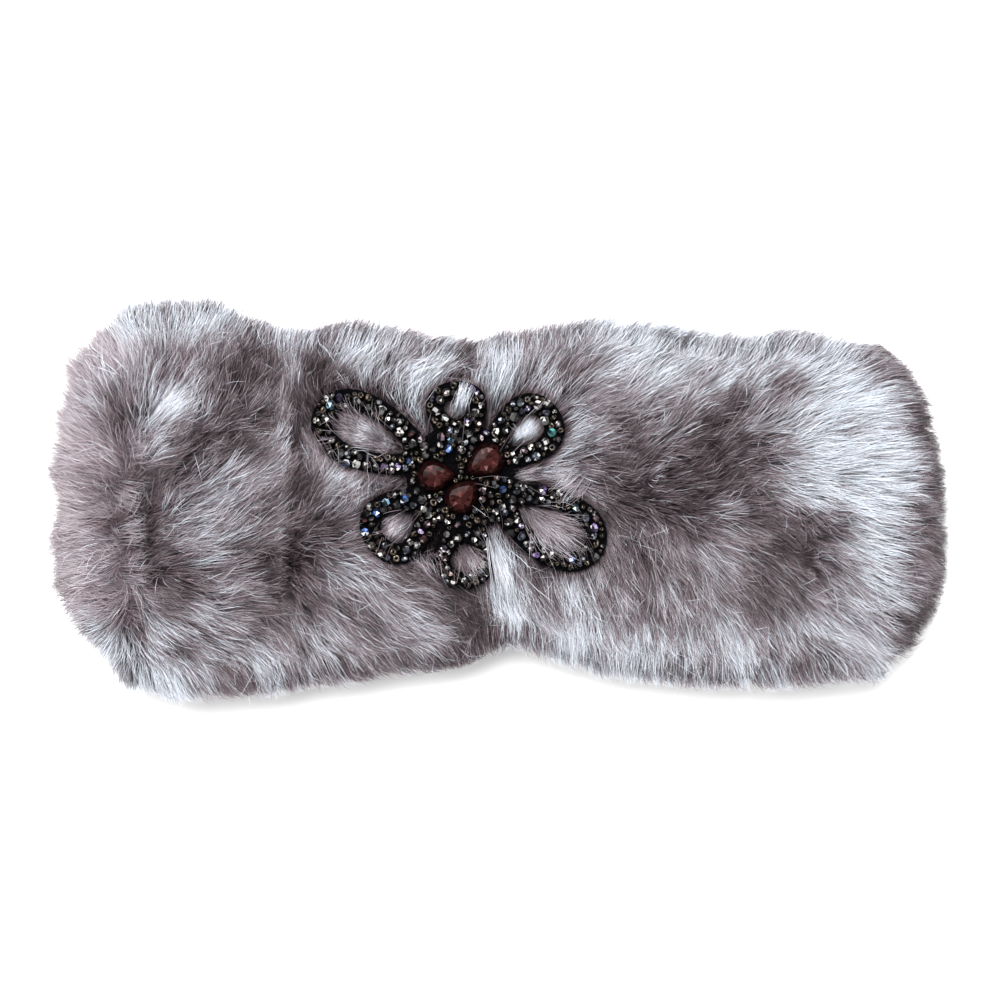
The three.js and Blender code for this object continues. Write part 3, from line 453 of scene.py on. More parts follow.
class Graph:
    """Lays nodes into one tree. An input may be a plain value or what another node puts out."""

    def __init__(self, tree):
        self.tree = tree

    def feed(self, socket, value):
        """Links or sets an input. None leaves it as it is."""
        if isinstance(value, Value):
            self.tree.links.new(value.socket, socket)
        elif value is not None:
            socket.default_value = value

    def add(self, kind, *inputs, named=None, **settings):
        """A node, with its inputs in order or by name."""
        node = self.tree.nodes.new(kind)
        for name, value in settings.items():
            setattr(node, name, value)
        for socket, value in zip(node.inputs, inputs):
            self.feed(socket, value)
        for name, value in (named or {}).items():
            self.feed(node.inputs[name], value)
        return node

    def get(self, kind, *inputs, give=0, named=None, **settings):
        """What a new node puts out: its first output, or the one named or numbered by give."""
        return Value(self, self.add(kind, *inputs, named=named, **settings).outputs[give])

    def maths(self, operation, *values, clamp=False):
        """Sums of numbers, or of two vectors, or a vector times a number."""
        if "VECTOR" not in [value.socket.type for value in values if isinstance(value, Value)]:
            return self.get("ShaderNodeMath", *values, operation=operation, use_clamp=clamp)
        if operation == "MULTIPLY":
            vector, factor = values
            return self.get("ShaderNodeVectorMath", vector, named={"Scale": factor}, operation="SCALE")
        return self.get("ShaderNodeVectorMath", *values, operation=operation)

    def mixed(self, factor, first, second):
        """Blends two numbers, vectors or colours."""
        kind, at, give = {"VECTOR": ("VECTOR", 4, 1), "RGBA": ("RGBA", 6, 2)}.get(
            first.socket.type, ("FLOAT", 2, 0)
        )
        node = self.add("ShaderNodeMix", data_type=kind)
        for number, value in ((0, factor), (at, first), (at + 1, second)):
            self.feed(node.inputs[number], value)
        return Value(self, node.outputs[give])

    def ramp(self, factor, *stops):
        """A colour ramp with stops of (place, colour)."""
        node = self.add("ShaderNodeValToRGB", factor)
        elements = node.color_ramp.elements
        while len(elements) < len(stops):
            elements.new(0.5)
        for element, (place, colour) in zip(elements, stops):
            element.position = place
            element.color = (*colour[:3], 1.0)
        return Value(self, node.outputs["Color"])

    def split(self, vector):
        """A vector's X, Y and Z."""
        node = self.add("ShaderNodeSeparateXYZ", vector)
        return [Value(self, output) for output in node.outputs]

    def joined(self, x, y, z=0.0):
        """A vector of X, Y and Z."""
        return self.get("ShaderNodeCombineXYZ", x, y, z)

    def turned(self, vector, axis, angle):
        """A vector turned about an axis."""
        return self.get(
            "ShaderNodeVectorRotate", rotation_type="AXIS_ANGLE",
            named={"Vector": vector, "Axis": axis, "Angle": angle},
        )

    def here(self):
        """The place of each point."""
        return self.get("GeometryNodeInputPosition")

    def read(self, name, kind="FLOAT"):
        """A number that a shape carries by name."""
        return self.get("GeometryNodeInputNamedAttribute", name, data_type=kind)

    def vector(self, name):
        """A vector that a shape carries by name."""
        return self.read(name, "FLOAT_VECTOR")

    def stored(self, shape, domain="POINT", **values):
        """A shape with values kept on it by name."""
        for name, value in values.items():
            kind = "FLOAT_VECTOR" if value.socket.type == "VECTOR" else "FLOAT"
            shape = self.get(
                "GeometryNodeStoreNamedAttribute", shape, data_type=kind, domain=domain,
                named={"Name": name, "Value": value},
            )
        return shape

    def charted(self, shape, across, up):
        """A shape with the map from which its material reads its colours."""
        return self.get(
            "GeometryNodeStoreNamedAttribute", shape, data_type="FLOAT2", domain="CORNER",
            named={"Name": CHART, "Value": self.joined(across, up)},
        )

    def cleared(self, shape, *names):
        """A shape without the named values."""
        for name in names:
            shape = self.get("GeometryNodeRemoveAttribute", shape, name, pattern_mode="WILDCARD")
        return shape

    def random(self, low, high, seed, identity=None):
        """A number drawn for each point, or for each identity."""
        node = self.add("FunctionNodeRandomValue", data_type="FLOAT")
        for socket, value in (
            (node.inputs[2], low), (node.inputs[3], high),
            (node.inputs["Seed"], seed), (node.inputs["ID"], identity),
        ):
            self.feed(socket, value)
        return Value(self, node.outputs[1])

    def put_out(self, *values):
        """Ends the tree, and gives it."""
        self.add("NodeGroupOutput", *values)
        return self.tree


def new_object(name, data):
    """An object at the origin, in the scene."""
    made = bpy.data.objects.new(name, data)
    bpy.context.scene.collection.objects.link(made)
    return made


def declare(piece, slot, *nodes):
    """Attaches a piece to the root body, and hides the CAD nodes that it takes the place of."""
    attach(piece, "root")
    if nodes:
        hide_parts(*nodes)


def declare_loop(flat_size, waisting, others=()):
    """Reads a cloth's flat width and length and lists the pieces that go with it, and does nothing more
    with them.
    """
    width, length = flat_size
    list(others)


def merged_copy(node, name, material):
    """A mesh like a CAD node's, with its loose triangles joined up, of another material."""
    work = bmesh.new()
    work.from_mesh(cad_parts[node].data)
    bmesh.ops.remove_doubles(work, verts=work.verts, dist=TINY)
    mesh = bpy.data.meshes.new(name)
    work.to_mesh(mesh)
    work.free()
    mesh.materials.clear()
    mesh.materials.append(material)
    return mesh


def tree_from(mesh):
    """A search tree over a mesh's faces, for casting rays at it."""
    return BVHTree.FromPolygons(
        [v.co[:] for v in mesh.vertices], [p.vertices[:] for p in mesh.polygons]
    )


def tree_of(node):
    """A search tree over a CAD node."""
    return tree_from(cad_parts[node].data)


def baked_by_nodes(piece, tree, inputs):
    """Runs a Geometry Nodes tree on a piece, with inputs by name, and keeps its plain mesh."""
    modifier = piece.modifiers.new(tree.name, "NODES")
    modifier.node_group = tree
    for item in tree.interface.items_tree:
        if item.item_type == "SOCKET" and item.in_out == "INPUT" and item.name in inputs:
            modifier[item.identifier] = inputs[item.name]
    piece.update_tag()
    bpy.context.view_layer.update()
    ready = piece.evaluated_get(bpy.context.evaluated_depsgraph_get())
    mesh = bpy.data.meshes.new_from_object(ready)
    if not mesh.polygons:
        raise RuntimeError(f"{piece.name} came out of {tree.name} empty")
    piece.modifiers.clear()
    old = piece.data
    piece.data = mesh
    mesh.name = piece.name
    bpy.data.meshes.remove(old)


def new_tree(name, inputs, gives=None):
    """A Geometry Nodes tree whose inputs take values like the named ones, or a shader node group
    with inputs and outputs of the named kinds: its graph, and what each input brings."""
    tree = bpy.data.node_groups.new(name, "ShaderNodeTree" if gives else "GeometryNodeTree")
    if not gives:
        kinds = {label: KINDS[type(value)] for label, value in inputs.items()}
        inputs, gives = {"Geometry": "Geometry", **kinds}, {"Geometry": "Geometry"}
    for way, sockets in (("INPUT", inputs), ("OUTPUT", gives)):
        for label, kind in sockets.items():
            tree.interface.new_socket(label, in_out=way, socket_type=f"NodeSocket{kind}")
    graph = Graph(tree)
    entry = tree.nodes.new("NodeGroupInput")
    return graph, {socket.name: Value(graph, socket) for socket in entry.outputs if socket.name}


def new_material(name, **finish):
    """A node material with its graph and shader. The shader's inputs are set by name, with _ for
    each space."""
    material = bpy.data.materials.new(name)
    material.use_nodes = True
    shader = material.node_tree.nodes["Principled BSDF"]
    for label, value in finish.items():
        shader.inputs[label.replace("_", " ")].default_value = value
    return material, Graph(material.node_tree), shader


def cloth_nap():
    """Fine nap of felt, wool and plush: how high it stands, and the normal that it gives."""
    made = bpy.data.node_groups.get("Cloth Nap")
    if made:
        return made
    takes = {"Place": "Vector", **dict.fromkeys(("Scale", "Detail", "Strength", "Depth"), "Float")}
    graph, given = new_tree("Cloth Nap", takes, {"Height": "Float", "Normal": "Vector"})
    noise = graph.get("ShaderNodeTexNoise", named={
        "Vector": given["Place"], "Scale": given["Scale"], "Detail": given["Detail"],
    })
    bump = graph.get("ShaderNodeBump", named={
        "Strength": given["Strength"], "Distance": given["Depth"], "Height": noise,
    })
    return graph.put_out(noise, bump)


def add_nap(graph, shader, scale, detail, strength, depth):
    """Gives a material the nap's relief, and hands back its height for the colour."""
    place = graph.get("ShaderNodeTexCoord", give="Object")
    nap = graph.add("ShaderNodeGroup", node_tree=cloth_nap(), named={
        "Place": place, "Scale": scale, "Detail": detail, "Strength": strength, "Depth": depth,
    })
    graph.feed(shader.inputs["Normal"], Value(graph, nap.outputs["Normal"]))
    return Value(graph, nap.outputs["Height"])


# ------------------------------------------------------------------ the combed skin


def calm_at(places):
    """How even the pile is at each place, from 0, glinting, to 1, plush."""
    spots = np.array(PLUSH, float)
    apart = ((places[:, None, :2] / MM - spots[None, :, :2]) ** 2).sum(2)
    return np.exp(-apart / spots[:, 2] ** 2).max(1)


def comb_at(places):
    """Heading, lift, length and tone of the comb at each place, from its nearest rows, and how
    much the rows part there."""
    rows = np.array(COMB, float)
    apart = places[:, None, :2] / MM - rows[None, :, :2]
    weight = 1.0 / ((apart**2).sum(2) + COMB_BLUR**2) ** COMB_FALLOFF
    weight /= weight.sum(1, keepdims=True)
    turn = np.radians(rows[:, 2])
    heading = np.stack([weight @ np.cos(turn), weight @ np.sin(turn), 0 * weight[:, 0]], 1)
    agreed = np.linalg.norm(heading, axis=1)
    heading /= np.maximum(agreed, TINY)[:, None]
    lift = np.radians(weight @ rows[:, 3])
    parting = (1 - agreed / AGREED).clip(0, 1)
    lift += (PARTED_LIFT - lift) * parting
    return heading, lift, weight @ rows[:, 4] * MM, weight @ rows[:, 5], parting


def tone_at(places):
    """Tone of the pile at each place, from 0 to 1: the comb's, with the streaks over it."""
    tone = comb_at(places)[3]
    for x, y, to_x, to_y, radius, streak_tone in STREAKS:
        along = np.array([to_x - x, to_y - y], float)
        apart = places[:, :2] / MM - (x, y)
        share = (apart @ along / (along @ along)).clip(0, 1)
        gap = np.linalg.norm(apart - share[:, None] * along, axis=1)
        tone += (streak_tone - tone) * np.exp(-((gap / radius) ** 2))
    return (tone / 10 * CONTRAST - DARKENING).clip(0, 1)


class Loop:
    """The flattened loop as the CAD model has it, measured by casting rays at it."""

    def __init__(self):
        low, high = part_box("cloth_loop")
        self.middle = (low.z + high.z) / 2
        self.fold = high.x - (high.z - low.z) / 2
        self.pile = tree_of("fur_pile")
        self.cloth = tree_of("cloth_loop")

    def stations(self, spacing):
        """Points on the loop's mid-line with the way out of the band there, once round."""
        runs, bends = round(2 * self.fold / spacing), 14
        for side, out in ((1, UP), (-1, DOWN)):
            for i in range(runs):
                yield side * self.fold * (2 * i / runs - 1), out
            for i in range(bends):
                turn = math.pi * i / bends
                yield side * self.fold, side * Vector((math.sin(turn), 0, math.cos(turn)))

    def outer(self, tree, x, y, out):
        """How far out the surface of the pile or the cloth lies, or None where there is none."""
        start = Vector((x, y, self.middle))
        hit = tree.ray_cast(start + out * FAR, -out, FAR - 0.5 * MM)
        return None if hit[0] is None else (hit[0] - start).length

    def inner(self, x, out):
        """Half the open height of the loop at this station."""
        hit = self.cloth.ray_cast(Vector((x, 0, self.middle)), out, FAR)
        return hit[3] if hit[0] is not None else 4 * MM

    def edges(self, tree, x, out):
        """The lowest and highest y at which the pile or the cloth is met."""
        met = [y for y in np.arange(-60, 60.5, 0.5) * MM if self.outer(tree, x, y, out)]
        return (min(met), max(met)) if met else (-40 * MM, 40 * MM)


def comb_skin(depth):
    """The surface that the hairs grow from: the pile's form drawn in by its depth, outside the
    cloth everywhere. Rows run round the loop, columns across the band and round both its rims."""
    loop = Loop()
    even = np.linspace(-1, 1, COLUMNS)
    across = np.sin(even * math.pi / 2) * 0.6 + even * 0.4
    rows, outs = [], []
    for x, out in loop.stations(ROW_SPACING):
        low, high = loop.edges(loop.pile, x, out)
        cloth_low, cloth_high = loop.edges(loop.cloth, x, out)
        lip = loop.inner(x, out) + 0.3 * MM
        backing = loop.outer(loop.cloth, x, (cloth_low + cloth_high) / 2, out) + CLOTH_GAP
        sunk = depth * (1 - 0.5 * (1 - out.z) if out.z > -0.1 else 0.45 - 0.1 * out.z)
        start = min(low + depth * 0.6, cloth_low - 1 * MM)
        end = max(high - depth * 0.6, cloth_high + 1 * MM)
        row = []
        for u in (across + 1) / 2:
            met = loop.outer(loop.pile, x, low + 0.3 * MM + (high - low - 0.6 * MM) * u, out)
            row.append((start + (end - start) * u, max((met or lip) - sunk, backing)))
        for turned in (False, True):
            edge, height = row[-1]
            swell = -RIM_SWELL if turned else RIM_SWELL
            row += [
                (edge + swell * math.sin(math.pi * f), height + (lip - height) * f)
                for f in (0.25, 0.5, 0.75, 1.0)
            ]
            row.reverse()
        rows.append([(x + out.x * h, y, loop.middle + out.z * h) for y, h in row])
        outs.append(out)
    return np.array(rows), outs


def smoothed_rows(rows, times):
    """The skin's grid evened out round the loop and across it, keeping its two borders."""
    for _ in range(times):
        around = (np.roll(rows, 1, 0) + 2 * rows + np.roll(rows, -1, 0)) / 4
        rows = around.copy()
        rows[:, 1:-1] = (around[:, :-2] + 2 * around[:, 1:-1] + around[:, 2:]) / 4
    return rows


def skin_mesh(name, rows, keep=None):
    """A mesh over the grid, or over those of its faces for which keep says so."""
    count, across = rows.shape[:2]
    faces = []
    for i in range(count):
        for j in range(across - 1):
            k = (i + 1) % count
            face = (i * across + j, k * across + j, k * across + j + 1, i * across + j + 1)
            if keep is None or keep(rows.reshape(-1, 3)[list(face)].mean(0), i):
                faces.append(face)
    used = sorted({v for face in faces for v in face})
    place = {v: n for n, v in enumerate(used)}
    mesh = bpy.data.meshes.new(name)
    mesh.from_pydata(rows.reshape(-1, 3)[used].tolist(), [], [[place[v] for v in f] for f in faces])
    mesh.polygons.foreach_set("use_smooth", [True] * len(mesh.polygons))
    return mesh, used


def write_groom(mesh, groom, used):
    """Stores the comb on a mesh's points, by name."""
    for name, values in groom.items():
        kind = "FLOAT_VECTOR" if values.ndim == 2 else "FLOAT"
        layer = mesh.attributes.new(name, kind, "POINT")
        layer.data.foreach_set("vector" if values.ndim == 2 else "value", values[used].ravel())


def points_mesh(name, places, groom):
    """Loose points that carry values by name."""
    mesh = bpy.data.meshes.new(name)
    mesh.from_pydata(np.array(places).tolist(), [], [])
    groom = {label: np.array(values) for label, values in groom.items()}
    write_groom(mesh, groom, range(len(places)))
    return mesh


def groom_of(rows, mesh):
    """What the hairs need to know at each point of the whole skin."""
    places = rows.reshape(-1, 3)
    normals = np.zeros(len(places) * 3)
    mesh.vertex_normals.foreach_get("vector", normals)
    normals = normals.reshape(-1, 3)
    rim, fold = np.maximum(1 - np.abs(normals[:, 2]), 0), np.abs(normals[:, 0])
    underneath = normals[:, 2] < -0.6
    heading, lift, length, tone, parting = comb_at(places)
    reach = length * np.cos(lift) * TIP_SHARE
    tone = tone_at(places + heading * reach[:, None])
    # Painted shade: the tone is darkened round the rims, more at the upper edge and at the folds.
    shade = RIM_SHADE + UPPER_SHADE * normals[:, 1].clip(0, 1) + FOLD_SHADE * fold
    tone -= shade * rim**1.2 * tone
    run = heading.copy()
    run[:, 2] = -1.2 * rim
    run -= normals * (run * normals).sum(1, keepdims=True)
    run /= np.maximum(np.linalg.norm(run, axis=1, keepdims=True), TINY)
    lift = np.maximum(lift, np.abs(normals[:, 1]) * RIM_LIFT)
    covered, holes = about_brooch(places)
    thick = 1.0 + parting + HOLE_THICK * holes + RIM_THICK * rim + FOLD_THICK * fold
    room = room_above(places, normals, tree_of("fur_pile"))
    for x, y, radius, more in FULLER:
        room += more * MM * np.exp(-((places[:, :2] / MM - (x, y)) ** 2).sum(1) / radius**2)
    back_lift, back_length, back_tone, back_thick = BACK
    return {
        "comb": run, "lift": np.where(underneath, back_lift, lift),
        "length": np.where(underneath, back_length, length),
        "tone": np.where(underneath, back_tone, tone),
        "cover": np.where(underneath, back_thick, np.where(covered, COVERED_THICK, thick)),
        "calm": np.where(holes, 0.6, calm_at(places)),
        "over": np.where(covered, 0.0, np.where(holes, 0.02, 0.01)),
        "room": room, "parting": np.where(underneath, 0.0, parting),
    }


def room_above(places, normals, pile):
    """How far above the skin the pile's outer form lies."""
    room = np.full(len(places), 3 * MM)
    for n, (place, normal) in enumerate(zip(places, normals)):
        hit = pile.ray_cast(Vector(place), Vector(normal), 12 * MM)
        if hit[0] is not None:
            room[n] = hit[3]
    return room.clip(LEAST_ROOM, MOST_ROOM)


def about_brooch(places):
    """Which points of the skin lie under the flower's felt, and which in one of its holes."""
    felt = tree_of("brooch_felt")
    low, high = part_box("brooch_felt")
    covered, holes = np.zeros(len(places), bool), np.zeros(len(places), bool)
    for n, (x, y, z) in enumerate(places):
        if not (low.x < x < high.x and low.y < y < high.y and z > 15 * MM):
            continue
        covered[n] = felt.ray_cast(Vector((x, y, 0)), UP)[0] is not None
        met = 0
        for turn in np.arange(WAYS) * 2 * math.pi / WAYS:
            way = Vector((math.cos(turn), math.sin(turn), 0))
            start = Vector((x, y, (low.z + high.z) / 2))
            met += felt.ray_cast(start, way, 22 * MM)[0] is not None
        holes[n] = met == WAYS and not covered[n]
    return covered, holes


# ------------------------------------------------------------------ hairs by Geometry Nodes


def hair_template(graph, segments):
    """A flat hair of width 1 along Y from 0 to 1, ending in a point, with its own numbers
    along (root to tip) and across (edge to edge, narrowing to the tip)."""
    grid = graph.get("GeometryNodeMeshGrid", named={
        "Size X": 1.0, "Size Y": 1.0, "Vertices X": 2, "Vertices Y": segments + 1.0,
    })
    x, y, _ = graph.split(graph.here())
    along = y + 0.5
    shape = graph.stored(grid, along=along, across=x * 2.0 * (1.0 - along**1.7))
    flat = graph.joined(graph.read("across"), graph.read("along"))
    shape = graph.get("GeometryNodeSetPosition", shape, named={"Position": flat})
    return graph.get("GeometryNodeMergeByDistance", shape, named={"Distance": 1e-4})


def hair_on_each(graph, points, segments):
    """A hair on every point, as plain mesh that carries the point's values."""
    named = {"Instance": hair_template(graph, segments)}
    hairs = graph.get("GeometryNodeInstanceOnPoints", points, named=named)
    return graph.get("GeometryNodeRealizeInstances", hairs)


def finished_hairs(graph, shape, place, across, up, material, *names):
    """Ends a tree of hairs: at their places, charted, without the names no longer needed."""
    shape = graph.get("GeometryNodeSetPosition", shape, named={"Position": place})
    shape = graph.cleared(graph.charted(shape, across, up), "along", "across", *names)
    shape = graph.get("GeometryNodeSetShadeSmooth", shape)
    return graph.put_out(graph.get("GeometryNodeSetMaterial", shape, named={"Material": material}))


def shape_of(graph, thing):
    """Another object's shape."""
    return graph.get("GeometryNodeObjectInfo", named={"Object": thing}, give="Geometry")


def under_felt(graph, brooch, x, y):
    """Whether the brooch's felt lies over or under a place."""
    return graph.get("GeometryNodeRaycast", brooch, give="Is Hit", named={
        "Source Position": graph.joined(x, y), "Ray Direction": (0.0, 0.0, 1.0), "Ray Length": 0.1,
    })


def guides(graph, skin, spacing, seed, place):
    """The place and number of the nearest of evenly strewn guide points."""
    strewn = graph.get(
        "GeometryNodeDistributePointsOnFaces", skin, distribute_method="POISSON",
        named={"Distance Min": spacing, "Density Max": 4e6, "Seed": seed},
    )
    index = graph.get(
        "GeometryNodeSampleNearest", strewn, named={"Sample Position": place}, domain="POINT"
    )
    there = graph.get(
        "GeometryNodeSampleIndex", strewn, data_type="FLOAT_VECTOR", domain="POINT",
        named={"Value": graph.here(), "Index": index},
    )
    return there, index


def pile_tree(inputs):
    """Grows hairs on a combed skin: they gather in wisps and locks, lean the way they are
    combed, follow the band's round edges and are pressed down by the brooch."""
    graph, given = new_tree("Grow Pile", inputs)
    skin, seed = given["Geometry"], given["Seed"]
    maths, read, vector = graph.maths, graph.read, graph.vector

    def draw(low, high, step, identity=None):
        """A number drawn for each hair, or for each lock or wisp if identity is its number."""
        return graph.random(low, high, seed + float(step), identity)

    def swing(reach, step, identity=None):
        """The same, to either side of nothing."""
        return draw(-reach, reach, step, identity)

    roots = graph.add(
        "GeometryNodeDistributePointsOnFaces", skin, distribute_method="RANDOM",
        named={"Density": given["Density"] * read("cover"), "Seed": seed},
    )
    shape, normal = (Value(graph, roots.outputs[name]) for name in ("Points", "Normal"))
    here = graph.here()
    wisp, of_wisp = guides(graph, skin, given["Wisp Spacing"], seed + 1.0, here)
    lock, of_lock = guides(graph, skin, given["Lock Spacing"], seed + 2.0, wisp)

    # Heading: the comb, turned a little by a slow wave, by lock, by wisp and by the hair itself.
    wave = graph.get("ShaderNodeTexNoise", named={"Vector": wisp, "Scale": 60.0, "Detail": 1.0})
    turn = (wave - 0.5) * given["Waviness"] + swing(0.11, 10, of_lock) + swing(0.15, 11, of_wisp)
    straight = read("tone") * -0.75 + 1.2
    loose = (read("parting") * 2.4 + read("lift") * 0.5) * swing(1.0, 12)
    stray = maths("LESS_THAN", draw(0.0, 1.0, 20), given["Stray Share"])
    turn = turn * straight + loose + stray * swing(1.2, 21)
    heading = graph.turned(vector("comb"), normal, turn)

    # Length and lift, and with them how far each hair runs, rises, bends and gathers.
    length = read("length") * draw(0.88, 1.15, 30, of_lock) * draw(0.85, 1.15, 31, of_wisp)
    length = length * draw(0.6, 1.15, 32)
    lift = read("lift") + swing(0.08, 40, of_lock) + swing(0.10, 41, of_wisp) + swing(0.12, 42)
    lift = maths("MAXIMUM", lift + stray * 0.15, 0.08)
    gathered = 1.0 - stray
    pull = (wisp - here) * (given["Wisp Pull"] * gathered)
    pull = pull + (lock - wisp) * (given["Lock Pull"] * gathered)
    sideways = maths("CROSS_PRODUCT", normal, heading)
    bend = (swing(0.16, 50, of_lock) + swing(0.12, 51, of_wisp)) * straight
    half_width = given["Hair Width"] * draw(0.32, 0.62, 61)

    # Tone: the comb's, more or less so by lock, by wisp and by hair, with painted glints on a few hairs,
    # and even where it is plush.
    tone, lively = read("tone"), 1.0 - read("calm")
    own = swing(1.0, 72) * (tone * 0.45 + 0.08) + swing(0.09, 70, of_lock) + swing(0.18, 70, of_wisp)
    tone = own * lively + tone
    tone = draw(0.0, 1.0, 75) ** 9.0 * given["Glint"] * lively + tone
    tone = maths("MINIMUM", maths("MAXIMUM", stray * 0.3 + tone, 0.02), 0.98)

    # Cap: how high the hair may rise, to stay in the pile's outer form, more raggedly on top.
    flatness = maths("ABSOLUTE", graph.split(normal)[2])
    ragged = (draw(-0.18, 0.06, 80) + swing(0.12, 81, of_wisp)) * (flatness * 0.7 + 0.3)
    ragged = ragged + (flatness * -0.14 + 0.14)
    shape = graph.stored(
        shape, hair_root=here, hair_run=heading * (length * maths("COSINE", lift)),
        hair_rise=length * maths("SINE", lift), hair_up=normal, hair_pull=pull,
        hair_sway=sideways * (length * bend),
        hair_side=graph.turned(sideways, heading, swing(0.9, 60)) * half_width,
        hair_tone=tone, hair_cap=read("room") * ragged + read("room") + 0.3 * MM,
        hair_laps=maths("LESS_THAN", draw(0.0, 1.0, 85), read("over")),
    )
    shape = hair_on_each(graph, shape, given["Segments"])

    # Each hair's own curve, laid along the skin.
    along = read("along")
    flat = vector("hair_root") + vector("hair_run") * along
    flat = flat + vector("hair_sway") * along**2.0 + vector("hair_pull") * along**1.3
    height = read("hair_rise") * (1.0 - (1.0 - along) ** given["Droop"])
    height = maths("SMOOTH_MIN", height, read("hair_cap"), given["Cap Softness"])
    whole = shape_of(graph, given["Whole Skin"])

    def followed(own, of_skin):
        """The hair's own value, mostly replaced by that of the skin below."""
        there = graph.get(
            "GeometryNodeSampleNearestSurface", whole, data_type="FLOAT_VECTOR",
            named={"Value": of_skin, "Sample Position": flat},
        )
        return graph.mixed(given["Follow"], own, there)

    place = followed(flat, graph.here())
    place = place + followed(vector("hair_up"), graph.get("GeometryNodeInputNormal")) * height
    x, y, z = graph.split(place + vector("hair_side") * read("across"))

    # The brooch presses down what runs under it, and hairs that come up through its loops lap
    # over the beads.
    brooch = shape_of(graph, given["Brooch"])
    away = graph.get(
        "GeometryNodeProximity", brooch, target_element="FACES", give="Distance",
        named={"Sample Position": graph.joined(x, y, given["Under Brooch"])},
    )
    shape = graph.stored(shape, hair_away=graph.mixed(under_felt(graph, brooch, x, y), away, 0.0))
    away, laps = read("hair_away"), read("hair_laps")
    pressed = maths("MINIMUM", z, away + given["Under Brooch"])
    lapped = maths("MAXIMUM", z, given["Over Beads"] - away)
    tall = maths("MAXIMUM", graph.mixed(laps, pressed, lapped), given["Floor Height"])

    # The chart of the hair's colours: its tone sideways, root to tip upwards.
    # Painted shade: hairs near the brooch's felt, in its holes and round its edges, are darkened; those
    # that lap over the beads less so.
    shade = maths("DIVIDE", away, given["Shaded Border"], clamp=True) * 0.88 + 0.12
    shade = maths("MAXIMUM", shade, laps * 0.75)
    return finished_hairs(
        graph, shape, graph.joined(x, y, tall),
        read("across") * given["Tone Width"] + read("hair_tone") * shade,
        graph.mixed(read("calm") * 0.8, along, 0.93), given["Hair"], "hair_*", *GROOM,
    )


def hair_material(pile):
    """Dark at the root and silver at the tip, more or less so from hair to hair: the fur's own frosted
    colour, with the roots darkened further as painted shade deep in the pile.
    """
    material, graph, shader = new_material("silver_tipped_hair", Roughness=0.45, Specular_IOR_Level=0.22)
    tone, along, _ = graph.split(graph.get("ShaderNodeUVMap", uv_map=CHART))
    root, middle = Vector(pile.root_colour), Vector(pile.middle_colour)
    tip, silver = Vector(pile.tip_colour), Vector(pile.silver_colour)
    dark = graph.ramp(along, (0.0, root * 0.1), (0.6, root * 0.3), (1.0, middle * 0.15))
    usual = graph.ramp(
        along, (0.0, root * 0.3), (0.5, middle * 0.34), (0.78, middle * 0.95), (1.0, tip * 1.03)
    )
    pale = graph.ramp(
        along, (0.0, silver * 0.02), (0.3, silver * 0.14), (0.58, silver * 0.6), (0.8, silver),
        (1.0, silver * 1.2),
    )
    lower = graph.maths("MULTIPLY", tone, 2.0, clamp=True)
    upper = graph.maths("MULTIPLY_ADD", tone, 2.0, -1.0, clamp=True)
    colour = graph.mixed(upper, graph.mixed(lower, dark, usual), pale)
    graph.feed(shader.inputs["Base Color"], colour)
    return material


def undercoat_material(pile):
    """The short dense wool between the hairs' roots, paler where the pile's tone is, its painted sheen
    and shade included.
    """
    material, graph, shader = new_material("dense_undercoat", Roughness=0.95, Specular_IOR_Level=0.1)
    streaks = add_nap(graph, shader, 900.0, 4.0, 0.8, 0.6 * MM)
    tone = graph.get("ShaderNodeAttribute", attribute_name="tone", give="Fac")
    root, middle = Vector(pile.root_colour), Vector(pile.middle_colour)
    colour = graph.ramp(
        (streaks - 0.5) * 0.8 + tone, (0.0, root * 0.35), (0.5, middle * 0.5), (1.0, middle * 1.2)
    )
    graph.feed(shader.inputs["Base Color"], colour)
    return material


def lock_feet(skin, crown):
    """The feet of the single locks' hairs, with the way each goes, how it bows and what heights
    it starts from, arches to and ends at. The numbers are strewn with a fixed seed."""
    rng = np.random.default_rng(41)
    felt = tree_of("brooch_felt")
    feet, given = [], {name: [] for name in LOCK_GROOM}
    for x, y, to_x, to_y, width, to_width, hairs, tone, arch, stray in LOCKS:
        way = np.array([to_x - x, to_y - y, 0], float)
        reach = np.linalg.norm(way)
        way /= reach
        across = np.array([-way[1], way[0], 0])
        beside = math.hypot(x - FLOWER[0], y - FLOWER[1]) > FLOWER[2]
        for _ in range(hairs):
            lane = rng.normal(0, 0.42)
            foot = np.array([x, y, 0]) + across * lane * width + way * rng.uniform(-0.1, 0.45) * reach
            tip = np.array([to_x, to_y, 0]) + across * (lane * to_width + rng.normal(0, stray))
            tip += way * rng.uniform(-0.45, 0.15) * reach
            hit = skin.ray_cast(Vector((*foot[:2] * MM, ABOVE)), DOWN)
            if hit[0] is None or felt.ray_cast(Vector(foot * MM), UP)[0]:
                continue
            low = hit[0].z + 1.0 * MM
            top = low + 4.5 * MM if beside else max(crown, low + 3.0 * MM)
            top += arch * rng.uniform(0.3, 1.6) * MM
            run = tip - foot
            edge = np.array([-run[1], run[0], 0]) / (np.linalg.norm(run) + TINY)
            edge[2] = rng.uniform(-0.5, 0.5)
            feet.append(foot * MM)
            for name, value in zip(LOCK_GROOM, (
                run * MM, across * rng.normal(0, 0.35 + stray * 0.3) * MM,
                edge * rng.uniform(0.035, 0.07) * MM, low, top, top - rng.uniform(0.0, 1.2) * MM,
                min(max(tone / 10 + rng.normal(0, 0.14), 0.02), 0.97),
            )):
                given[name].append(value)
    return points_mesh("lapping_locks", feet, given)


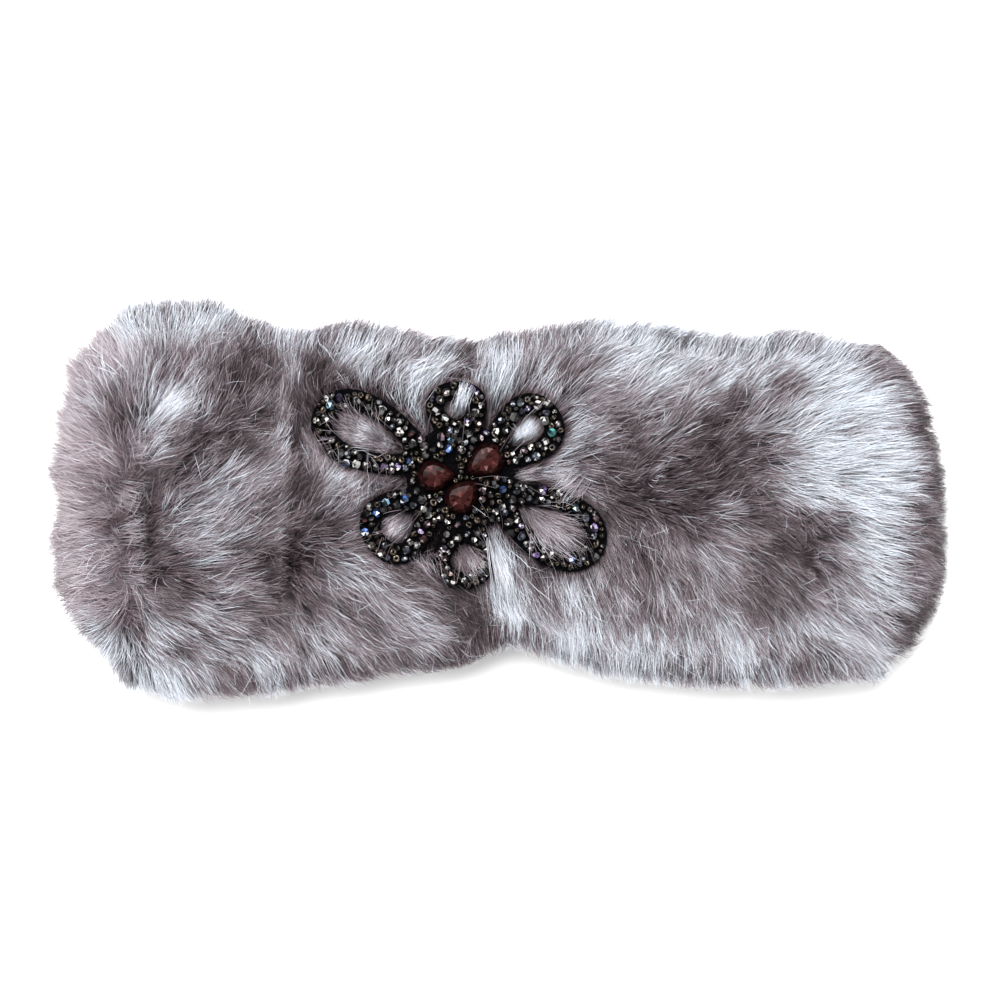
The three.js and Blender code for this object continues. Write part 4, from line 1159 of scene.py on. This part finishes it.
def locks_tree(inputs):
    """Bends a hair over from each foot to its tip, above the beads wherever it crosses them."""
    graph, given = new_tree("Lay Locks", inputs)
    read, vector = graph.read, graph.vector
    shape = graph.stored(given["Geometry"], foot=graph.here())
    shape = hair_on_each(graph, shape, given["Segments"])
    along = read("along")
    back = 1.0 - along
    middle = along * back * 2.0
    flat = vector("foot") + vector("way") * along + vector("bow") * (middle * 2.0)
    x, y, z = graph.split(flat + vector("side") * read("across"))
    arched = read("top") * 1.25 + read("low") * -0.25
    rise = middle * arched + read("low") * back**2.0
    rise = read("end") * along**2.0 + rise
    brooch = shape_of(graph, given["Brooch"])
    above = graph.maths("MAXIMUM", rise, given["Crown"])
    rise = graph.mixed(under_felt(graph, brooch, x, y), rise, above) + z
    return finished_hairs(
        graph, shape, graph.joined(x, y, rise), read("across") * given["Tone Width"] + read("tone"),
        along * 0.5 + 0.46, given["Hair"], "foot", *LOCK_GROOM,
    )


class HEADBAND_OT_pile(bpy.types.Operator):
    """Grow the pile, in pelts that stay small enough to handle"""

    bl_idname = "headband.pile"
    bl_label = "Grow Pile"

    # name, from x, to x in millimetres, whether it is the back half
    PELTS = (
        ("pelt_left_fold", -1000, -78, False),
        ("pelt_front_left", -78, -38, False),
        ("pelt_front_middle", -38, 2, False),
        ("pelt_front_right", 2, 42, False),
        ("pelt_front_far_right", 42, 80, False),
        ("pelt_right_fold", 80, 1000, False),
        ("pelt_back", -1000, 1000, True),
    )

    def execute(self, context):
        pile, band = context.scene.headband_pile, context.scene.headband_band
        rows, outs = comb_skin(pile.depth)
        rows = smoothed_rows(rows, 2)
        whole = skin_mesh("undercoat", rows)[0]
        groom = groom_of(rows, whole)
        undercoat = new_object("undercoat", whole)
        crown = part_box("hub_beads")[1].z
        shared = {
            "Brooch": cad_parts["brooch_felt"], "Hair": hair_material(pile),
            "Tone Width": TONE_WIDTH,
        }
        inputs = {
            "Whole Skin": undercoat, "Density": pile.density, "Hair Width": pile.hair_width,
            "Lock Spacing": pile.lock_spacing, "Wisp Spacing": pile.wisp_spacing,
            "Lock Pull": 0.25, "Wisp Pull": 0.75, "Waviness": 0.9, "Follow": 0.85,
            "Droop": 1.35, "Cap Softness": 1.0 * MM, "Segments": 3, "Stray Share": 0.03,
            "Glint": 0.6, "Floor Height": 0.4 * MM, "Shaded Border": 1.9 * MM, "Seed": pile.seed,
            "Under Brooch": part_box("brooch_felt")[0].z - 0.3 * MM, "Over Beads": crown + 0.2 * MM,
            **shared,
        }
        tree, made = pile_tree(inputs), []
        for name, low, high, back in self.PELTS:

            def keep(centre, i):
                """Whether a face belongs to this pelt."""
                return (outs[i].z < -0.5) == back and low * MM <= centre[0] < high * MM

            mesh, used = skin_mesh(name, rows, keep)
            write_groom(mesh, groom, used)
            made.append(new_object(name, mesh))
            baked_by_nodes(made[-1], tree, {**inputs, "Segments": 2 if back else 3})
        inputs = {"Crown": crown + 0.1 * MM, "Segments": 4, **shared}
        made.append(new_object("lapping_locks", lock_feet(tree_from(whole), inputs["Crown"])))
        baked_by_nodes(made[-1], locks_tree(inputs), inputs)
        write_groom(whole, {"tone": groom["tone"]}, range(len(groom["tone"])))
        whole.materials.append(undercoat_material(pile))
        for pelt in made:
            declare(pelt, "fur")
        declare(undercoat, "fur", "fur_pile")
        declare_loop(band.pelt_size, band.waisting, made)
        return {"FINISHED"}


# ------------------------------------------------------------------ the cloth loop


class HEADBAND_OT_cloth(bpy.types.Operator):
    """Finish the cloth loop, whose inner face lines the head opening"""

    bl_idname = "headband.cloth"
    bl_label = "Line Loop"

    def execute(self, context):
        band = context.scene.headband_band
        material, graph, shader = new_material("plush_lining", Roughness=0.9, Sheen_Weight=0.4)
        nap, colour = add_nap(graph, shader, 700.0, 3.0, 0.6, 0.4 * MM), Vector(band.colour)
        graph.feed(shader.inputs["Base Color"], graph.ramp(nap, (0.3, colour * 0.6), (0.7, colour * 1.3)))
        cloth = new_object("plush_loop", merged_copy("cloth_loop", "plush_loop", material))
        declare(cloth, "cloth", "cloth_loop")
        declare_loop(band.flat_size, band.waisting)
        return {"FINISHED"}


# ------------------------------------------------------------------ the brooch

# A bead's finish: its shape, the stretch of the bead colours it is drawn from, and how far the painted
# shade and glints of its facets spread.
FINISHES = {
    "gold": ("ring", 0.03, 0.17, 0.75), "bronze": ("ring", 0.03, 0.12, 0.7),
    "grey": ("cut", 0.21, 0.32, 0.9), "smoke": ("rondelle", 0.35, 0.45, 1.0),
    "mauve": ("cut", 0.47, 0.52, 1.0), "clear": ("cut", 0.55, 0.62, 1.0),
    "wine": ("rondelle", 0.65, 0.69, 0.9), "violet": ("rondelle", 0.73, 0.78, 1.0),
    "blue": ("cut", 0.81, 0.86, 1.0), "sky": ("cut", 0.88, 0.91, 1.0),
    "teal": ("cut", 0.94, 0.96, 1.0), "steel": ("rondelle", 0.98, 1.0, 0.9),
}
# The bead colours, each dark at its near end and clear at its far end.
BEAD_COLOURS = (
    (0.00, (0.035, 0.022, 0.014)), (0.18, (0.42, 0.32, 0.22)), (0.20, (0.018, 0.018, 0.021)),
    (0.33, (0.20, 0.19, 0.19)), (0.34, (0.045, 0.036, 0.036)), (0.46, (0.25, 0.20, 0.19)),
    (0.465, (0.16, 0.09, 0.11)), (0.53, (0.34, 0.24, 0.28)), (0.54, (0.34, 0.33, 0.33)),
    (0.63, (0.74, 0.74, 0.72)), (0.64, (0.07, 0.018, 0.018)), (0.70, (0.15, 0.05, 0.05)),
    (0.71, (0.16, 0.10, 0.30)), (0.79, (0.42, 0.30, 0.62)), (0.80, (0.06, 0.15, 0.52)),
    (0.87, (0.14, 0.34, 0.95)), (0.875, (0.25, 0.52, 0.80)), (0.92, (0.42, 0.72, 0.92)),
    (0.93, (0.05, 0.32, 0.32)), (0.965, (0.16, 0.60, 0.60)), (0.97, (0.07, 0.085, 0.11)),
    (1.00, (0.24, 0.27, 0.36)),
)
# Felt left bare between the beads: x, y and radius in millimetres.
BARE = (
    (-14, 9.4, 2.6), (2.2, 6.6, 2.0), (-19.6, 16.4, 1.8), (-17.6, -12.6, 1.6),
    (-4.5, 12.5, 1.4), (-26, 4.5, 1.6), (-2.5, -11.5, 1.4),
)
# What fills the bed round the accents, from large to small: size in usual beads, tries, finishes.
FILLING = (
    (1.35, 40, ("smoke", "smoke", "grey", "mauve", "wine", "grey")),
    (1.1, 420, ("gold", "gold", "grey", "bronze", "smoke", "clear", "steel", "mauve")),
    (0.95, 800, ("gold", "bronze", "grey", "gold", "smoke", "steel", "wine", "violet")),
    (0.75, 1600, ("gold", "grey", "bronze", "gold", "smoke", "bronze")),
)


def felt_material(brooch):
    """Black wool felt."""
    material, graph, shader = new_material("black_felt", Roughness=1.0, Specular_IOR_Level=0.0)
    black = Vector(brooch.felt_colour)
    nap = add_nap(graph, shader, 2500.0, 4.0, 0.7, 0.2 * MM)
    graph.feed(shader.inputs["Base Color"], graph.ramp(nap, (0.35, black * 0.5), (0.7, black * 2.0)))
    return material


def bead_glass():
    """Colour of a bead's facet: the chart runs through the bead colours sideways, and from a
    facet in shade to one that glints upwards."""
    graph, given = new_tree("Bead Glass", {"Chart": "Vector"}, {"Colour": "Color"})
    hue, lit, _ = graph.split(given["Chart"])
    greys = ((0.0, 0.006), (0.45, 0.045), (0.75, 0.24), (1.0, 1.4))
    light = graph.ramp(lit, *((place, (grey,) * 3) for place, grey in greys))
    shaded = graph.add("ShaderNodeMix", data_type="RGBA", blend_type="MULTIPLY")
    for number, value in ((0, 1.0), (6, graph.ramp(hue, *BEAD_COLOURS)), (7, light)):
        graph.feed(shaded.inputs[number], value)
    glint = graph.maths("MULTIPLY", graph.maths("SUBTRACT", lit, 0.87, clamp=True), 9.0, clamp=True)
    return graph.put_out(graph.mixed(glint, Value(graph, shaded.outputs[2]), (0.9, 0.88, 0.82, 1.0)))


def bead_material(name, effect, metallic, roughness, coat):
    """Glass or metal beads, coloured by their chart."""
    material, graph, shader = new_material(
        name, Metallic=metallic, Roughness=roughness, Coat_Weight=coat, Coat_Roughness=0.03
    )
    chart = graph.get("ShaderNodeUVMap", uv_map=CHART)
    colour = graph.get("ShaderNodeGroup", node_tree=effect, named={"Chart": chart})
    graph.feed(shader.inputs["Base Color"], colour)
    return material


def bead_seats(name, node, brooch, rng):
    """Seats for one bed's beads: those with a place of their own, then from large to small wherever the
    next one still fits. Each has its place, size, shape, colour and the spread of the painted shade and
    glints on its facets."""
    bed = tree_of(node)
    crystals = [tree_of(crystal) for crystal in CRYSTAL_NODES]
    low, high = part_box(node)
    felt_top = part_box("brooch_felt")[1].z
    places, sizes, looks = [], [], []

    def bed_at(x, y):
        """Where the bed is met from above, or None beside it."""
        return bed.ray_cast(Vector((x, y, high.z + 10 * MM)), DOWN, 15 * MM)[0]

    def under_crystal(x, y, size):
        """Whether a bead there would touch a crystal or lie under one."""
        spot, base = Vector((x, y, felt_top + 1.5 * MM)), Vector((x, y, felt_top - 1 * MM))
        return any(
            crystal.find_nearest(spot, size * 0.42)[0] or crystal.ray_cast(base, UP)[0]
            for crystal in crystals
        )

    def sew(x, y, size, finish):
        """Notes a bead, unless it has no bed or a crystal is in its way."""
        top = bed_at(x, y)
        if top is None or under_crystal(x, y, size):
            return
        z = max(felt_top + 0.46 * size, top.z - 0.42 * size) + rng.uniform(0, 0.3) * MM
        shape, first, last, lively = FINISHES[finish]
        places.append((x, y, z))
        sizes.append(size)
        looks.append((("rondelle", "cut", "ring").index(shape), rng.uniform(first, last), lively))

    for x, y, size, finish in ACCENTS:
        sew(x * MM, y * MM, size * MM, finish)
    for share, tries, finishes in FILLING:
        for _ in range(tries):
            size = brooch.bead_size * share * rng.uniform(0.92, 1.08)
            x, y = rng.uniform(low.x, high.x), rng.uniform(low.y, high.y)
            if places:
                apart = np.hypot(*(np.array(places)[:, :2] - (x, y)).T)
                if (apart < (np.array(sizes) + size) / 2 * brooch.crowding).any():
                    continue
            if any(math.hypot(x / MM - bare[0], y / MM - bare[1]) < bare[2] for bare in BARE):
                continue
            edge = size * 0.22
            if all(bed_at(x + dx * edge, y + dy * edge) for dx, dy in ((1, 0), (-1, 0), (0, 1), (0, -1))):
                sew(x, y, size, finishes[rng.integers(len(finishes))])
    shapes, colours, lively = np.array(looks).T
    turns = rng.uniform((-1.1, -1.1, -3.1), (1.1, 1.1, 3.1), (len(places), 3))
    return points_mesh(name, places, {
        "bead_size": sizes, "bead_shape": shapes, "bead_colour": colours,
        "bead_lively": lively, "bead_turn": turns,
    })


def bead_tree(inputs):
    """Sews a bead on every point: a faceted rondelle, a cut bead or a glass ring."""
    graph, given = new_tree("Sew Beads", inputs)
    get, read = graph.get, graph.read
    ball = get("GeometryNodeMeshUVSphere", named={"Segments": 8, "Rings": 4, "Radius": 0.5})
    rondelle = get("GeometryNodeTransform", ball, named={"Scale": (1.0, 1.0, 0.72)})
    cut = get("GeometryNodeMeshUVSphere", named={"Segments": 7, "Rings": 3, "Radius": 0.5})
    path = get("GeometryNodeCurvePrimitiveCircle", named={"Resolution": 10, "Radius": 0.31})
    profile = get("GeometryNodeCurvePrimitiveCircle", named={"Resolution": 6, "Radius": 0.19})
    ring = get("GeometryNodeCurveToMesh", path, profile)
    kinds = graph.add("GeometryNodeGeometryToInstance")
    for kind, smooth in ((ring, True), (cut, False), (rondelle, False)):
        kind = get("GeometryNodeSetShadeSmooth", kind, named={"Shade Smooth": smooth})
        graph.feed(kinds.inputs[0], graph.stored(kind, bead_local=graph.here()))
    beads = get("GeometryNodeInstanceOnPoints", given["Geometry"], named={
        "Instance": Value(graph, kinds.outputs[0]), "Pick Instance": True,
        "Instance Index": read("bead_shape"), "Rotation": graph.vector("bead_turn"),
        "Scale": read("bead_size"),
    })
    shape = get("GeometryNodeRealizeInstances", beads)
    # Painted shade and glints: each facet gets its own brightness, spread wider on livelier finishes.
    facet = graph.random(-0.5, 0.5, given["Seed"], get("GeometryNodeInputIndex"))
    shape = graph.stored(shape, "FACE", bead_facet=facet * read("bead_lively") + 0.49)
    x, y, z = graph.split(graph.vector("bead_local"))
    shape = graph.charted(
        shape, (z * 0.37 + x) * 0.003 + read("bead_colour"), (z * 0.61 + y) * 0.006 + read("bead_facet")
    )
    shape = get("GeometryNodeSetMaterial", shape, named={"Material": given["Cut"]})
    rings = graph.maths("GREATER_THAN", read("bead_shape"), 1.5)
    shape = get("GeometryNodeSetMaterial", shape, named={"Selection": rings, "Material": given["Ring"]})
    return graph.put_out(graph.cleared(shape, "bead_*"))


def crystal_mesh(name, node, rng):
    """A pear-cut crystal on a CAD one's outline. Its table is split into the facets of the back that show
    through it, and every facet keeps its own tone, a painted reflection, darkest round the girdle and
    brightest on the table."""
    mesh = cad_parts[node].data
    low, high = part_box(node)
    tall = high.z - low.z
    spots = {tuple(round(c, 6) for c in v.co) for v in mesh.vertices}
    girdle = np.array([s[:2] for s in spots if abs(s[2] - low.z - 0.3 * tall) < 0.02 * tall])
    centre = np.array([(low.x + high.x) / 2, (low.y + high.y) / 2])
    turn = np.arctan2(*(girdle - centre).T[::-1])
    girdle = girdle[np.argsort(turn)]
    count = len(girdle)
    between = (girdle + np.roll(girdle, -1, 0)) / 2
    levels = (
        # outline, its share, height, painted reflection tones of the facets above it
        (girdle, 0.86, 0.0, (0.05, 0.1)), (girdle, 1.0, 0.26, (0.02, 0.15)),
        (girdle, 1.0, 0.34, (0.05, 0.45)), (between, 0.88, 0.66, (0.10, 0.6)),
        (girdle, 0.70, 0.95, (0.25, 0.92)), (between, 0.42, 0.975, (0.4, 0.85)),
    )
    work = bmesh.new()
    rings = []
    for outline, share, height, _ in levels:
        flat = centre + (outline - centre) * share
        rings.append([work.verts.new((x, y, low.z + tall * height)) for x, y in flat])
    facets, tones = [rings[0][::-1]], [0.05]
    for step, (lower, upper) in enumerate(zip(rings, rings[1:])):
        from_between, to_between = (levels[step + up][0] is between for up in (0, 1))
        for i in range(count):
            k = (i + 1) % count
            drawn = rng.uniform(*levels[step][3], 2)
            if to_between and not from_between:
                cut = (lower[i], lower[k], upper[i]), (lower[k], upper[k], upper[i])
            elif from_between and not to_between:
                cut = (lower[i], upper[k], upper[i]), (lower[i], lower[k], upper[k])
            else:
                cut = ((lower[i], lower[k], upper[k], upper[i]),)
            facets += cut
            tones += drawn[:len(cut)].tolist()
    peak = work.verts.new((*centre, high.z))
    for i in range(count):
        facets.append((rings[-1][i], rings[-1][(i + 1) % count], peak))
        tones.append(tones[-1] if i % 2 else rng.uniform(*levels[-1][3]))
    for facet in facets:
        work.faces.new(facet)
    cut = bpy.data.meshes.new(name)
    work.to_mesh(cut)
    work.free()
    cut.attributes.new("facet", "FLOAT", "FACE").data.foreach_set("value", tones)
    return cut


def crystal_material(brooch):
    """Burgundy glass over foil: each facet is painted with its own reflection of the foil, from dark
    burgundy to a near-white glint.
    """
    material, graph, shader = new_material("burgundy_crystal", Roughness=0.08, Specular_IOR_Level=0.04)
    facet = graph.get("ShaderNodeAttribute", attribute_name="facet", give="Fac")
    place = graph.get("ShaderNodeTexCoord", give="Object")
    cloud = graph.get("ShaderNodeTexNoise", named={"Vector": place, "Scale": 260.0, "Detail": 1.0})
    clear = Vector(brooch.crystal_colour)
    colour = graph.ramp(
        (cloud - 0.5) * 0.3 + facet, (0.0, (0.004, 0.001, 0.002)), (0.3, clear * 0.3), (0.62, clear),
        (0.82, clear * 1.5), (0.90, clear * 3.0), (0.97, (0.16, 0.09, 0.09)), (1.0, (0.60, 0.54, 0.50)),
    )
    graph.feed(shader.inputs["Base Color"], colour)
    return material


class HEADBAND_OT_brooch(bpy.types.Operator):
    """Make the flower: felt, beads and crystals"""

    bl_idname = "headband.brooch"
    bl_label = "Bead Brooch"

    def execute(self, context):
        brooch = context.scene.headband_brooch
        felt = new_object("felt_flower", merged_copy("brooch_felt", "felt_flower", felt_material(brooch)))
        edge = felt.modifiers.new("soft edge", "BEVEL")
        edge.width = 0.35 * MM
        edge.segments = 2
        edge.limit_method = "ANGLE"
        declare(felt, "felt", "brooch_felt")
        effect, sewn = bead_glass(), []
        inputs = {
            "Ring": bead_material("glass_ring_bead", effect, 0.6, 0.25, 0.15),
            "Cut": bead_material("cut_glass_bead", effect, 0.3, 0.15, 0.22), "Seed": brooch.seed,
        }
        tree = bead_tree(inputs)
        for number, node in enumerate(BEAD_NODES):
            name = node.replace("petal_beads", "strewn_beads").replace("hub_beads", "strewn_beads_hub")
            rng = np.random.default_rng(brooch.seed + number)
            beads = new_object(name, bead_seats(name, node, brooch, rng))
            baked_by_nodes(beads, tree, {**inputs, "Seed": brooch.seed + number})
            declare(beads, "beads", node)
            sewn.append(beads)
        glass = crystal_material(brooch)
        for number, node in enumerate(CRYSTAL_NODES):
            name = node.replace("crystal", "cut_crystal")
            crystal = new_object(name, crystal_mesh(name, node, np.random.default_rng(20 + number)))
            crystal.data.materials.append(glass)
            declare(crystal, "crystal", node)
            sewn.append(crystal)
        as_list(sewn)
        return {"FINISHED"}


# ------------------------------------------------------------------ the stage


class HEADBAND_OT_stage(bpy.types.Operator):
    """Set out the pale floor, the lights and the camera that looks straight down"""

    bl_idname = "headband.stage"
    bl_label = "Set Stage"

    # name, place in metres, watts, size in metres
    LIGHTS = (("key", (-0.28, 0.48, 1.2), 35.0, 0.8), ("fill", (0.9, -0.5, 0.9), 8.0, 1.0))
    FLOOR_HALF = 2.0
    # How far the camera stands off the band's middle, along both axes.
    CAMERA_SHIFT = -0.4 * MM

    def execute(self, context):
        stage = context.scene.headband_stage
        mesh = bpy.data.meshes.new("floor")
        corners = [(x * self.FLOOR_HALF, y * self.FLOOR_HALF, 0) for x, y in SQUARE]
        mesh.from_pydata(corners, [], [(0, 1, 2, 3)])
        paint = (*stage.floor_colour, 1.0)
        mesh.materials.append(new_material("pale_floor", Base_Color=paint, Roughness=0.8)[0])
        new_object("floor", mesh)

        world = bpy.data.worlds.new("soft_studio")
        world.use_nodes = True
        sky = world.node_tree.nodes["Background"].inputs
        sky["Color"].default_value = (1.0, 1.0, 1.0, 1.0)
        sky["Strength"].default_value = 0.6
        context.scene.world = world
        for name, place, power, size in self.LIGHTS:
            light = bpy.data.lights.new(name, "AREA")
            light.energy = power
            light.size = size
            lamp = new_object(name, light)
            lamp.location = place
            lamp.rotation_euler = (-Vector(place)).to_track_quat("-Z", "Y").to_euler()

        low, high = (Vector(corner) for corner in CAD_BOX)
        camera = bpy.data.cameras.new("camera")
        camera.lens = stage.lens
        camera.sensor_width = 36.0
        watcher = new_object("camera", camera)
        distance = stage.frame_width * stage.lens / camera.sensor_width
        watcher.location = (self.CAMERA_SHIFT, self.CAMERA_SHIFT, (low.z + high.z) / 2 + distance)
        context.scene.camera = watcher
        context.scene.view_settings.view_transform = "Standard"
        return {"FINISHED"}


class HEADBAND_PT_panel(bpy.types.Panel):
    """Lists the headband's settings and the steps that make it"""

    bl_label = "Fur Headband"
    bl_idname = "HEADBAND_PT_panel"
    bl_space_type = "VIEW_3D"
    bl_region_type = "UI"
    bl_category = "Headband"

    def draw(self, context):
        for step in STEPS:
            self.layout.operator(step.bl_idname)
        for name, group in SETTINGS.items():
            box = self.layout.box()
            box.label(text=group.__doc__)
            for field in group.__annotations__:
                box.prop(getattr(context.scene, name), field)


SETTINGS = {
    "headband_pile": PileSettings,
    "headband_band": BandSettings,
    "headband_brooch": BroochSettings,
    "headband_stage": StageSettings,
}
STEPS = (HEADBAND_OT_stage, HEADBAND_OT_pile, HEADBAND_OT_cloth, HEADBAND_OT_brooch)


def register():
    """Makes the settings, operators and panel known to Blender."""
    for made in (*SETTINGS.values(), *STEPS, HEADBAND_PT_panel):
        bpy.utils.register_class(made)
    for name, group in SETTINGS.items():
        setattr(bpy.types.Scene, name, bpy.props.PointerProperty(type=group))


def unregister():
    """Takes them away again."""
    for name in SETTINGS:
        delattr(bpy.types.Scene, name)
    for made in reversed((*SETTINGS.values(), *STEPS, HEADBAND_PT_panel)):
        bpy.utils.unregister_class(made)


def main():
    """Registers the add-on and builds everything: stage, pile, cloth and brooch."""
    register()
    bpy.ops.headband.stage()
    bpy.ops.headband.pile()
    bpy.ops.headband.cloth()
    bpy.ops.headband.brooch()


if __name__ == "__main__":
    main()
